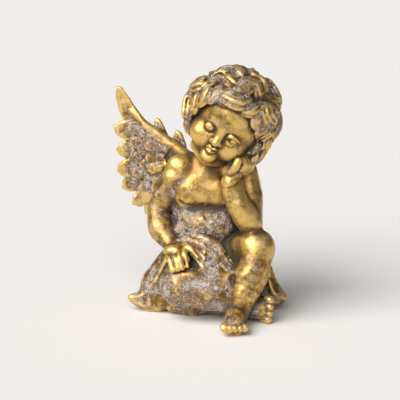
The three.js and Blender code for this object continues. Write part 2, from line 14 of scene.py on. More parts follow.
import bpy
import numpy as np
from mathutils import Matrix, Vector


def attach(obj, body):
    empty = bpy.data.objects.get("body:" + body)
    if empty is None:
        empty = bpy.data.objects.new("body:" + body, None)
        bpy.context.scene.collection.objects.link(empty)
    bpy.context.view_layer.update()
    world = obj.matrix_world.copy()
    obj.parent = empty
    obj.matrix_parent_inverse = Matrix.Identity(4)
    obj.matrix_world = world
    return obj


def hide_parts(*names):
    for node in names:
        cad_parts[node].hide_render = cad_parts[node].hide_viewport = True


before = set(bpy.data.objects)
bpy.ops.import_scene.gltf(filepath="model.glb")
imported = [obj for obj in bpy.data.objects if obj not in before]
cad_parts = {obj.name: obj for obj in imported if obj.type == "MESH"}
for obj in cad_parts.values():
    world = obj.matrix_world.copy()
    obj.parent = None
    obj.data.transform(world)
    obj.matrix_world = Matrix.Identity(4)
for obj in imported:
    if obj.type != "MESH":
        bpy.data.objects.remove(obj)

log = logging.getLogger("cherub")

MM = 0.001
FAR = 60.0
CREASE_POINTS = 17

Point = Sequence[float]


def unit(vector: Point) -> np.ndarray:
    """A vector's direction.

    Args:
        vector: Any vector but zero.

    Returns:
        The same direction with length 1.
    """
    v = np.asarray(vector, dtype=float)
    return v / np.linalg.norm(v)


def smooth_curve(joints: np.ndarray, steps: int) -> np.ndarray:
    """A Catmull-Rom curve through joints, with its ends mirrored.

    Between joints b and c, with a before and d after, at share t:
    p = b + t/2 (c - a) + t^2/2 (2a - 5b + 4c - d) + t^3/2 (3b - a - 3c + d).

    Args:
        joints: (n, k) points to pass through.
        steps: How many spans the curve is cut into.

    Returns:
        (steps + 1, k) points along the curve.
    """
    padded = np.vstack([2 * joints[0] - joints[1], joints, 2 * joints[-1] - joints[-2]])
    place = np.linspace(0, len(joints) - 1, steps + 1)
    i = np.minimum(place.astype(int), len(joints) - 2)
    t = (place - i)[:, None]
    a, b, c, d = (padded[i + k] for k in range(4))
    return b + t / 2 * (c - a) + t**2 / 2 * (2 * a - 5 * b + 4 * c - d) + t**3 / 2 * (3 * b - a - 3 * c + d)


class Form(ABC):
    """A closed shape that knows the box it lies in and its signed distance."""

    low: np.ndarray
    high: np.ndarray

    @abstractmethod
    def distance(self, x: np.ndarray, y: np.ndarray, z: np.ndarray) -> np.ndarray:
        """Signed distance on an open grid.

        Args:
            x: Grid coordinates along X, shaped (n, 1, 1).
            y: Grid coordinates along Y, shaped (1, n, 1).
            z: Grid coordinates along Z, shaped (1, 1, n).

        Returns:
            The distance at every grid point, below zero inside.
        """


class Limb(Form):
    """Balls of changing radius swept along a smooth curve through joints."""

    def __init__(self, joints: Sequence[Point], radii: Sequence[float], steps: int = 12) -> None:
        """Sweeps the limb.

        Args:
            joints: Points that the middle line passes through.
            radii: The radius at each joint.
            steps: How many straight spans stand for the curve.
        """
        points = np.asarray(joints, dtype=float)
        shares = np.linspace(0, 1, len(radii))
        self.spine = smooth_curve(points, steps)
        self.girth = np.interp(np.linspace(0, 1, steps + 1), shares, radii)
        reach = max(radii)
        self.low = self.spine.min(axis=0) - reach
        self.high = self.spine.max(axis=0) + reach

    def distance(self, x: np.ndarray, y: np.ndarray, z: np.ndarray) -> np.ndarray:
        """Least distance to any span, each a cone between two balls. See Form.distance."""
        least = np.full(np.broadcast_shapes(x.shape, y.shape, z.shape), FAR, np.float32)
        for a, b, ra, rb in zip(self.spine, self.spine[1:], self.girth, self.girth[1:]):
            ux, uy, uz = (b - a).astype(np.float32)
            px, py, pz = x - np.float32(a[0]), y - np.float32(a[1]), z - np.float32(a[2])
            span = max(ux * ux + uy * uy + uz * uz, np.float32(1e-6))
            t = np.clip((px * ux + py * uy + pz * uz) / span, 0, 1)
            gap = np.sqrt((px - t * ux) ** 2 + (py - t * uy) ** 2 + (pz - t * uz) ** 2)
            np.minimum(least, gap - np.float32(ra) - t * np.float32(rb - ra), out=least)
        return least


class Egg(Form):
    """An ellipsoid on the axes of a frame."""

    def __init__(self, centre: Point, radii: Point, axes: np.ndarray | None = None) -> None:
        """Places the egg.

        Args:
            centre: Its middle.
            radii: Its three radii.
            axes: Rows are its axes; the row frame's when left out.
        """
        self.centre = np.asarray(centre, dtype=float)
        self.radii = np.asarray(radii, dtype=float)
        self.axes = np.eye(3) if axes is None else axes
        reach = np.sqrt(((self.axes * self.radii[:, None]) ** 2).sum(axis=0))
        self.low = self.centre - reach
        self.high = self.centre + reach

    def distance(self, x: np.ndarray, y: np.ndarray, z: np.ndarray) -> np.ndarray:
        """k (k - 1) / g, with k the length of p / r and g that of p / r^2. See Form.distance."""
        px, py, pz = (v - np.float32(c) for v, c in zip((x, y, z), self.centre))
        near, slope = np.float32(0), np.float32(0)
        for axis, radius in zip(self.axes.astype(np.float32), self.radii.astype(np.float32)):
            part = (px * axis[0] + py * axis[1] + pz * axis[2]) / radius
            near = near + part**2
            slope = slope + (part / radius) ** 2
        near = np.sqrt(near)
        return near * (near - 1) / np.sqrt(np.maximum(slope, 1e-8))


class Feather(Form):
    """A flat vane from quill to tip with a raised shaft and slanting barbs."""

    BARB_PITCH = 2.5
    BARB_DEPTH = 0.28
    BARB_SLANT = 0.9
    BARE_RIM = 2.0
    SHAFT_RISE = 0.7
    SHAFT_WIDTH = 1.1
    TIP_START = 0.68

    def __init__(self, root: np.ndarray, tip: np.ndarray, face: np.ndarray, width: float, thick: float,
                 bow: float) -> None:
        """Lays out the feather.

        Args:
            root: Quill end.
            tip: Free end.
            face: The way the flat of the feather looks.
            width: Half width of the vane before its rim is rounded.
            thick: Half thickness.
            bow: How far the middle is bowed sideways in the feather's own plane.
        """
        self.root = root
        self.length = float(np.linalg.norm(tip - root))
        self.shaft = (tip - root) / self.length
        self.out = unit(face - face.dot(self.shaft) * self.shaft)
        self.across = np.cross(self.out, self.shaft)
        self.width, self.thick, self.bow = width, thick, bow
        reach = width + thick + abs(bow) + self.SHAFT_RISE
        self.low = np.minimum(root, tip) - reach
        self.high = np.maximum(root, tip) + reach

    def distance(self, x: np.ndarray, y: np.ndarray, z: np.ndarray) -> np.ndarray:
        """Distance to the vane's flat middle, less its thickness. See Form.distance.

        The half width at share s is w (0.5 + 0.5 smoothstep(2 s)), rounded off as a quarter ellipse over the
        last third. Barbs are a cosine of the distance along the shaft less the slant times that beside it.
        """
        px, py, pz = (v - np.float32(c) for v, c in zip((x, y, z), self.root))

        def part(axis: np.ndarray) -> np.ndarray:
            """The distance from the quill along an axis."""
            ax, ay, az = axis.astype(np.float32)
            return px * ax + py * ay + pz * az

        run = part(self.shaft)
        share = np.clip(run / self.length, 0, 1)
        aside = part(self.across) - 4 * self.bow * share * (1 - share)
        swell = np.clip(2 * share, 0, 1)
        wide = self.width * (0.5 + 0.5 * swell * swell * (3 - 2 * swell))
        tip = np.maximum((share - self.TIP_START) / (1 - self.TIP_START), 0)
        wide = wide * np.sqrt(np.clip(1 - tip**2, 0, 1))
        beside = np.abs(aside)
        barbs = np.cos((run - self.BARB_SLANT * beside) * (2 * math.pi / self.BARB_PITCH))
        fade = np.clip(beside / 2, 0, 1) * np.clip((wide - beside) / self.BARE_RIM, 0, 1)
        ridge = self.SHAFT_RISE * np.exp(-((aside / self.SHAFT_WIDTH) ** 2)) * (1 - share)
        thick = self.thick * (1 - 0.25 * share) + ridge + self.BARB_DEPTH * fade * barbs
        over = np.maximum(beside - wide, 0) ** 2 + part(self.out) ** 2
        gap = np.sqrt(over + (run - share * self.length) ** 2)
        return (gap - thick).astype(np.float32)


@dataclass
class Skin:
    """A triangle or quad mesh in millimetres."""

    points: np.ndarray
    faces: np.ndarray


@dataclass(frozen=True)
class Hewing:
    """A roughness of the surface: its pitch and amount, the wash at which it starts and is full, and whether
    it leaves ridges between hewn planes."""

    pitch: float
    amount: float
    start: float
    full: float
    ridged: bool = False


class Clay:
    """A block of clay on a grid: the signed distance to its surface, and how much wash each place takes."""

    RIDGE_MEAN = 0.45
    FILL_PASSES = 12
    FILL_DEPTH = 0.05

    def __init__(self, low: Point, high: Point, cell: float) -> None:
        """Makes an empty block. Its lowest layer lies half a cell under the floor, so that the base is flat.

        Args:
            low: Lowest corner.
            high: Highest corner.
            cell: Grid spacing.
        """
        self.cell = cell
        self.low = np.asarray(low, dtype=float) - cell / 2
        count = np.ceil((np.asarray(high) - np.asarray(low)) / cell).astype(int) + 2
        self.ticks = [(self.low[k] + cell * np.arange(count[k])).astype(np.float32) for k in range(3)]
        self.depth = np.full(tuple(count), FAR, np.float32)
        self.wash = np.zeros(tuple(count), np.float32)

    def _window(self, form: Form, margin: float) -> tuple[tuple[slice, ...], tuple[np.ndarray, ...]]:
        """The part of the grid near a form.

        Args:
            form: The form.
            margin: How far past the form's box it reaches.

        Returns:
            Its slices, and its open grid of coordinates.
        """
        first = np.floor((form.low - margin - self.low) / self.cell).astype(int)
        last = np.ceil((form.high + margin - self.low) / self.cell).astype(int) + 1
        first = np.clip(first, 0, self.depth.shape)
        last = np.clip(last, first, self.depth.shape)
        spans = tuple(slice(a, b) for a, b in zip(first, last))
        ticks = [self.ticks[k][spans[k]] for k in range(3)]
        return spans, (ticks[0][:, None, None], ticks[1][None, :, None], ticks[2][None, None, :])

    def add(self, form: Form, melt: float, wash: float) -> None:
        """Lays a form on: min(a, b) - h^2 m / 4 with h = max(m - |a - b|, 0) / m.

        Args:
            form: What is laid on.
            melt: The width m over which it melts into what is there.
            wash: How much pale wash it holds, 0 to 1.
        """
        spans, grid = self._window(form, melt + 3 * self.cell)
        there = self.depth[spans]
        laid = form.distance(*grid)
        close = np.maximum(melt - np.abs(there - laid), 0) / melt
        mix = np.clip(0.5 + 0.5 * (there - laid) / melt, 0, 1)
        self.wash[spans] += (np.float32(wash) - self.wash[spans]) * mix
        self.depth[spans] = np.minimum(there, laid) - close * close * np.float32(melt / 4)

    def carve(self, form: Form, melt: float) -> None:
        """Cuts a form away, with its edge softened over a width.

        Args:
            form: What is cut out.
            melt: The width of the soft edge.
        """
        spans, grid = self._window(form, melt + 3 * self.cell)
        there = self.depth[spans]
        cut = -form.distance(*grid)
        close = np.maximum(melt - np.abs(there - cut), 0) / melt
        self.depth[spans] = np.maximum(there, cut) + close * close * np.float32(melt / 4)

    def roughen(self, hewing: Hewing, seed: int) -> None:
        """Moves the surface in and out by smooth chance: random values on a coarse lattice, eased between.

        Args:
            hewing: How far, how finely and where.
            seed: Seed of the chance.
        """
        share = hewing.pitch / self.cell
        size = [int(n / share) + 2 for n in self.depth.shape]
        waves = np.random.default_rng(seed).normal(0, 1, size).astype(np.float32)
        for axis, count in enumerate(self.depth.shape):
            place = np.arange(count) / share
            base = place.astype(int)
            ease = (place - base) ** 2 * (3 - 2 * (place - base))
            shape = [1, 1, 1]
            shape[axis] = count
            ease = ease.reshape(shape).astype(np.float32)
            waves = np.take(waves, base, axis) * (1 - ease) + np.take(waves, base + 1, axis) * ease
        if hewing.ridged:
            waves = np.abs(waves) - np.float32(self.RIDGE_MEAN)
        waves *= np.clip((self.wash - hewing.start) / (hewing.full - hewing.start), 0, 1)
        self.depth += np.float32(hewing.amount) * waves

    def cut_below(self, height: float) -> None:
        """Cuts everything off flat below a height."""
        np.maximum(self.depth, (height - self.ticks[2])[None, None, :], out=self.depth)

    def fill_ambiguous(self) -> None:
        """Fills the few cell faces whose inside corners meet only across a diagonal, so that no edge of the
        skin is shared by more than two faces."""
        for _ in range(self.FILL_PASSES):
            inside = self.depth < 0
            found = 0
            for axis in range(3):
                u, v = [k for k in range(3) if k != axis]
                a = inside
                corner = {}
                for du in (0, 1):
                    for dv in (0, 1):
                        spans = [slice(None)] * 3
                        spans[u] = slice(du, a.shape[u] - 1 + du)
                        spans[v] = slice(dv, a.shape[v] - 1 + dv)
                        corner[du, dv] = tuple(spans)
                odd = (a[corner[0, 0]] == a[corner[1, 1]]) & (a[corner[0, 1]] == a[corner[1, 0]])
                odd &= a[corner[0, 0]] != a[corner[0, 1]]
                found += int(odd.sum())
                for spans in corner.values():
                    part = self.depth[spans]
                    part[odd & (part >= 0)] = -self.FILL_DEPTH * self.cell
            if not found:
                return

    def skin(self) -> Skin:
        """The surface: one point in each cell it crosses, at the mean of its edge crossings, and one face
        across each grid edge it crosses.

        Returns:
            A mesh of quads, facing outward.
        """
        self.fill_ambiguous()
        depth = self.depth
        inside = depth < 0
        count = np.array(depth.shape)
        some = np.zeros(tuple(count - 1), bool)
        every = np.ones(tuple(count - 1), bool)
        corners = [(i, j, k) for i in (0, 1) for j in (0, 1) for k in (0, 1)]
        for i, j, k in corners:
            part = inside[i:count[0] - 1 + i, j:count[1] - 1 + j, k:count[2] - 1 + k]
            some |= part
            every &= part
        cells = np.argwhere(some & ~every)
        value = {c: depth[tuple((cells + c).T)] for c in corners}
        total = np.zeros((len(cells), 3))
        crossings = np.zeros(len(cells))
        for a in corners:
            for axis in range(3):
                if a[axis]:
                    continue
                b = tuple(1 if n == axis else a[n] for n in range(3))
                crossed = (value[a] < 0) != (value[b] < 0)
                share = np.where(crossed, value[a] / np.where(crossed, value[a] - value[b], 1), 0)
                spot = np.tile(np.array(a, dtype=float), (len(cells), 1))
                spot[:, axis] = share
                total += spot * crossed[:, None]
                crossings += crossed
        points = (cells + total / crossings[:, None]) * self.cell + self.low
        number = np.full(tuple(count - 1), -1, np.int32)
        number[tuple(cells.T)] = np.arange(len(cells))
        quads = []
        for axis in range(3):
            u, v = (axis + 1) % 3, (axis + 2) % 3
            low = [slice(1, n - 1) for n in count]
            high = list(low)
            low[axis], high[axis] = slice(0, count[axis] - 1), slice(1, count[axis])
            here, there = inside[tuple(low)], inside[tuple(high)]
            first = 1 - np.eye(3, dtype=int)[axis]
            for flip, crossed in ((False, here & ~there), (True, ~here & there)):
                base = np.argwhere(crossed) + first
                step_u, step_v = np.eye(3, dtype=int)[u], np.eye(3, dtype=int)[v]
                ring = [base, base - step_u, base - step_u - step_v, base - step_v]
                loop = np.stack([number[tuple(r.T)] for r in ring], axis=1)
                quads.append(loop[:, ::-1] if flip else loop)
        return Skin(points, np.concatenate(quads))

    def sample(self, values: np.ndarray, points: np.ndarray) -> np.ndarray:
        """Values between grid points, mixed along the three axes.

        Args:
            values: One value at each grid point.
            points: (n, 3) places.

        Returns:
            (n,) values.
        """
        place = np.clip((points - self.low) / self.cell, 0, np.array(values.shape) - 1.001)
        base = place.astype(int)
        part = place - base
        mixed = np.zeros(len(points))
        for i in (0, 1):
            for j in (0, 1):
                for k in (0, 1):
                    weight = np.prod(np.where((i, j, k), part, 1 - part), axis=1)
                    mixed += weight * values[tuple((base + (i, j, k)).T)]
        return mixed

    def fullness(self, radius: float) -> np.ndarray:
        """How full of clay the neighbourhood of each grid point is, as two box averages in turn.

        Args:
            radius: Half the side of each box.

        Returns:
            The filled share at every grid point, 0 to 1.
        """
        reach = max(int(round(radius / self.cell)), 1)
        filled = np.clip(0.5 - self.depth / self.cell, 0, 1).astype(np.float32)
        for _ in range(2):
            for axis in range(3):
                pad = [(0, 0)] * 3
                pad[axis] = (reach + 1, reach)
                run = np.cumsum(np.pad(filled, pad), axis=axis, dtype=np.float32)
                size = filled.shape[axis]
                head = np.take(run, range(2 * reach + 1, 2 * reach + 1 + size), axis=axis)
                tail = np.take(run, range(size), axis=axis)
                filled = (head - tail) / np.float32(2 * reach + 1)
        return filled


class Wash(float, Enum):
    """How much pale wash the caster left on each kind of surface."""

    FACE = 0.0
    SKIN = 0.19
    CHEST = 0.1
    HAIR = 0.5
    LID = 0.36
    FOOT = 0.34
    WING = 0.5
    CLOTH = 0.47
    BELLY = 0.6
    SEAT = 0.64


LimbSizes = tuple[list[Point], list[float], float]


def lay_limbs(clay: Clay, limbs: Sequence[LimbSizes], wash: float) -> None:
    """Lays several limbs on.

    Args:
        clay: The block.
        limbs: Joints, radii and melt of each.
        wash: How much wash they hold.
    """
    for joints, radii, melt in limbs:
        clay.add(Limb(joints, radii), melt, wash)


def ring_crease(centre: Point, axis: Point, radius: float, depth: float) -> Limb:
    """A crease round a limb.

    Args:
        centre: Where the limb's middle line passes through.
        axis: The limb's direction there.
        radius: The limb's radius there.
        depth: How thick the cutting ring is.

    Returns:
        A thin ring to carve with.
    """
    along = unit(axis)
    first = unit(np.cross(along, (0.3, 0.2, 1.0)))
    second = np.cross(along, first)
    turn = np.linspace(0, 2 * math.pi, CREASE_POINTS)[:, None]
    ring = np.asarray(centre) + radius * (np.cos(turn) * first + np.sin(turn) * second)
    return Limb(ring, [depth] * CREASE_POINTS, steps=24)


@dataclass
class Body:
    """Trunk, arms and legs."""

    trunk: list[tuple[Point, Point, float, Wash]] = field(default_factory=lambda: [
        ((4, 8, 128), (30, 20, 28), 6, Wash.CHEST),
        ((9, 20, 116), (27, 15, 38), 8, Wash.SKIN),
        ((7, 1, 90), (32, 24, 22), 6, Wash.BELLY),
        ((-19, 8, 104), (14, 15, 26), 8, Wash.BELLY),
        ((-22, -9, 84), (9, 9, 9), 6, Wash.BELLY),
        ((34, 8, 96), (17, 15, 30), 8, Wash.BELLY),
        ((12, 12, 60), (38, 32, 27), 7, Wash.BELLY),
        ((8, -18, 60), (24, 20, 19), 7, Wash.BELLY),
        ((27, -33, 42), (14, 12, 15), 9, Wash.BELLY),
        ((-8, -4, 125), (18, 8.5, 14), 9, Wash.CHEST),
        ((17, -5, 123), (18, 8.5, 14), 9, Wash.CHEST),
        ((-8, 32, 42), (24, 20, 22), 6, Wash.SKIN),
        ((32, 32, 42), (24, 20, 22), 6, Wash.SKIN),
    ])
    limbs: list[LimbSizes] = field(default_factory=lambda: [
        ([(-18, 9, 145), (10, 11, 149), (41, 9, 141)], [13, 13, 14], 6),
        ([(9, 8, 144), (18, 2, 168)], [15, 14], 5),
        ([(-20, 6, 147), (-31, 5, 126), (-41, 4, 106)], [14, 12.5, 11.5], 4),
        ([(-41, 3, 102), (-39, -6, 89), (-30, -19, 77)], [12, 13, 9], 2),
        ([(43, 8, 142), (49, -4, 118), (50, -19, 100)], [14, 13.5, 12], 4),
        ([(50, -23, 96), (44, -26, 107), (36, -27, 121), (28, -27, 142)], [11.5, 12.5, 11.5, 8], 2),
        ([(26, 12, 52), (42, -8, 62), (55, -26, 73)], [25, 22, 18.5], 4),
        ([(56, -30, 74), (50, -38, 48), (41, -46, 26), (37, -49, 14)], [17, 17, 12.5, 10.5], 4),
    ])
    draped_leg: list[LimbSizes] = field(default_factory=lambda: [
        ([(0, 10, 46), (-10, -12, 44), (-18, -29, 38)], [25, 22, 20], 5),
        ([(-20, -32, 36), (8, -35, 32), (36, -34, 24), (57, -34, 16)], [20, 19.5, 15.5, 10], 6),
    ])
    creases: list[tuple[Point, Point, float]] = field(default_factory=lambda: [
        ((-41, 1, 103), (0.1, 0.5, 1), 12.6),
        ((30, -27, 138), (-0.4, 0, 1), 9.2),
    ])
    folds: list[list[Point]] = field(default_factory=lambda: [
        [(-26, -8, 112), (-10, -18, 107), (6, -19, 105), (22, -17, 107), (32, -8, 111)],
        [(-28, -8, 99), (-12, -22, 97), (8, -25, 95), (26, -20, 97), (38, -8, 100)],
    ])
    rubbed: list[tuple[Point, Point]] = field(default_factory=lambda: [
        ((-12, -36, 43), (20, 14, 13)),
        ((10, -37, 38), (18, 15.5, 13)),
    ])
    breast_lines: list[list[Point]] = field(default_factory=lambda: [
        [(-20, -9, 117), (-9, -14, 111), (2, -13.5, 114)],
        [(9, -14, 113), (19, -14.5, 109), (29, -8, 113)],
    ])
    navel: tuple[Point, Point] = ((6, -25.5, 88), (1.8, 3, 1.5))
    rubbed_melt: float = 8
    fold_cut: list[float] = field(default_factory=lambda: [0.5, 1.4, 0.5])
    breast_cut: list[float] = field(default_factory=lambda: [0.3, 0.9, 0.3])
    crease_cut: float = 0.9

    def build(self, clay: Clay) -> None:
        """Lays the trunk and limbs on and carves their creases.

        Args:
            clay: The block.
        """
        for centre, radii, melt, wash in self.trunk:
            clay.add(Egg(centre, radii), melt, wash)
        lay_limbs(clay, self.limbs, Wash.SKIN)
        lay_limbs(clay, self.draped_leg, Wash.SEAT)
        for centre, radii in self.rubbed:
            clay.add(Egg(centre, radii), self.rubbed_melt, Wash.SKIN)
        for fold in self.folds:
            clay.carve(Limb(fold, self.fold_cut, steps=16), 3)
        for line in self.breast_lines:
            clay.carve(Limb(line, self.breast_cut), 3.5)
        for centre, axis, radius in self.creases:
            clay.carve(ring_crease(centre, axis, radius, self.crease_cut), 1.6)
        clay.carve(Egg(*self.navel), 2)


@dataclass
class Cloth:
    """The cushion of gathered cloth, and the folds over the lap."""

    seat: tuple[Point, Point] = ((8, 30, 9), (66, 44, 22))
    masses: list[LimbSizes] = field(default_factory=lambda: [
        ([(-26, 4, 54), (-41, 6, 28), (-46, 8, 10)], [14, 18, 17], 6),
        ([(-44, 6, 10), (-59, 2, 11), (-70, 0, 14)], [14, 8.5, 3.5], 5),
        ([(64, 8, 10), (76, 5, 11), (85, 2, 13)], [13, 9, 4], 4),
        ([(70, 10, 40), (72, 8, 26), (78, 5, 14)], [6, 8, 8], 4),
        ([(-26, 50, 10), (-42, 63, 11), (-52, 71, 13)], [15, 9.5, 3.5], 6),
        ([(42, 50, 10), (58, 63, 11), (68, 71, 13)], [15, 9.5, 3.5], 6),
    ])
    hem: list[LimbSizes] = field(default_factory=lambda: [
        ([(-28, -10, 10), (-8, -14, 8), (10, -12, 10), (30, -18, 8), (54, -18, 8)], [8, 9, 8, 9, 9], 9),
    ])
    pleats: list[LimbSizes] = field(default_factory=lambda: [
        ([(-33, -12, 55), (-45, -8, 33), (-51, -7, 12)], [3.4, 4, 4], 2.5),
        ([(-24, -18, 50), (-34, -15, 30), (-41, -6, 8)], [3.4, 5, 5], 6),
        ([(-41, -2, 50), (-53, 0, 30), (-60, -4, 16)], [2.4, 3, 2.4], 2.5),
        ([(-50, -6, 22), (-60, -5, 16), (-69, -1, 15)], [1.6, 2.2, 1.4], 1.5),
        ([(-48, -8, 8), (-59, -6, 8), (-68, -2, 12)], [1.6, 2.2, 1.4], 1.5),
        ([(70, 0, 32), (74, -3, 20), (83, 0, 14)], [1.6, 2.2, 1.4], 1.5),
        ([(64, -4, 16), (74, -4, 10), (82, 0, 11)], [1.8, 2.2, 1.4], 1.5),
        ([(-34, 40, 26), (-10, 54, 23), (24, 54, 23), (52, 40, 26)], [4, 5, 5, 4], 4),
        ([(-40, 58, 18), (-46, 64, 15), (-51, 70, 13)], [1.6, 2, 1.4], 1.5),
        ([(56, 58, 18), (62, 64, 15), (67, 70, 13)], [1.6, 2, 1.4], 1.5),
    ])
    lap_above: list[Point] = field(default_factory=lambda: [
        (-16, -14, 86), (2, -24, 84), (18, -27, 76), (29, -30, 64), (36, -33, 54)])
    lap_below: list[Point] = field(default_factory=lambda: [
        (-24, -26, 78), (-10, -34, 72), (0, -39, 62), (10, -43, 52), (24, -43, 44)])
    lap_folds: int = 8
    lap_stray: float = 1.2
    lap_thin: float = 0.72
    lap_melt: float = 2.2
    lap_radii: tuple[float, float, float, float, float] = (1.8, 3.0, 3.4, 3.2, 2.0)

    def build(self, clay: Clay) -> None:
        """Lays the cushion, its pleats and the lap folds on.

        Args:
            clay: The block.
        """
        clay.add(Egg(*self.seat), 6, Wash.SEAT)
        lay_limbs(clay, self.hem, Wash.SEAT)
        lay_limbs(clay, self.masses, Wash.CLOTH)
        lay_limbs(clay, self.pleats, Wash.CLOTH)
        above, below = np.array(self.lap_above, dtype=float), np.array(self.lap_below, dtype=float)
        for i, share in enumerate(np.linspace(0, 1, self.lap_folds)):
            fold = (1 - share) * above + share * below
            fold[1:-1, 2] += self.lap_stray * math.sin(2.4 * i)
            girth = 1 if i % 2 else self.lap_thin
            clay.add(Limb(fold, [r * girth for r in self.lap_radii]), self.lap_melt, Wash.BELLY)


@dataclass
class Hands:
    """The hand on the thigh and the fist under the cheek."""

    finger: float = 3.5
    finger_melt: float = 0.8
    fingers: int = 4
    palms: tuple[tuple[Point, Point], ...] = (((-25, -29, 71), (11, 10, 8)), ((-18, -38, 65), (10, 6, 8)))
    knuckles: tuple[Point, Point] = ((-31, -36, 66), (-15, -39, 72))
    tips: tuple[Point, Point] = ((-27, -47, 57), (-12, -48, 61))
    thumb: list[Point] = field(default_factory=lambda: [(-15, -31, 77), (-9, -38, 74), (-3, -42, 68)])
    fist: tuple[Point, Point] = ((31, -25, 151), (11, 9, 9))
    curl_centre: Point = (39, -32, 159)
    curl_radius: float = 4.5
    curl_step: float = 2.6
    curl_back: float = 4.4
    curl_turns: tuple[float, ...] = (-70, -10, 50, 100)
    fist_thumb: list[Point] = field(default_factory=lambda: [(29, -33, 152), (34, -37, 157), (37, -37, 164)])

    def build(self, clay: Clay) -> None:
        """Lays both hands on.

        Args:
            clay: The block.
        """
        r = self.finger
        for palm in self.palms:
            clay.add(Egg(*palm), 3, Wash.SKIN)
        for share in np.linspace(0, 1, self.fingers):
            knuckle = (1 - share) * np.array(self.knuckles[0]) + share * np.array(self.knuckles[1])
            tip = (1 - share) * np.array(self.tips[0]) + share * np.array(self.tips[1])
            bend = 0.55 * knuckle + 0.45 * tip + (0, -2, 2)
            line = [knuckle + (2, 7, 3), knuckle, bend, tip]
            clay.add(Limb(line, [r, 1.1 * r, r, 0.9 * r]), self.finger_melt, Wash.SKIN)
        clay.add(Limb(self.thumb, [r, r, 0.85 * r]), 1.2, Wash.SKIN)
        clay.add(Egg(*self.fist), 3, Wash.SKIN)
        turns = np.radians(self.curl_turns)
        for i in range(self.fingers):
            radius = self.curl_radius + i * self.curl_step
            back = np.full(len(turns), self.curl_back * i)
            arc = np.stack([radius * np.cos(turns), back, radius * np.sin(turns)], axis=1)
            clay.add(Limb(arc + self.curl_centre, [r, r, r, 0.8 * r]), self.finger_melt, Wash.SKIN)
        clay.add(Limb(self.fist_thumb, [r, r, 0.9 * r]), 1.2, Wash.SKIN)


@dataclass
class Foot:
    """A foot's toes: a bowed row of stubs."""

    count: int
    first: Point
    last: Point
    heading: Point
    bow: float
    radii: tuple[float, float]
    sole: LimbSizes

    def build(self, clay: Clay) -> None:
        """Lays the foot and its toes on.

        Args:
            clay: The block.
        """
        lay_limbs(clay, [self.sole], Wash.FOOT)
        heading = unit(self.heading)
        for share in np.linspace(0, 1, self.count):
            root = (1 - share) * np.array(self.first) + share * np.array(self.last)
            tip = root + heading * self.bow * math.sin(math.pi * (0.2 + 0.6 * share))
            radius = (1 - share) * self.radii[0] + share * self.radii[1]
            clay.add(Limb([root - 5 * heading, tip], [0.9 * radius, radius], steps=2), 0.9, Wash.FOOT)


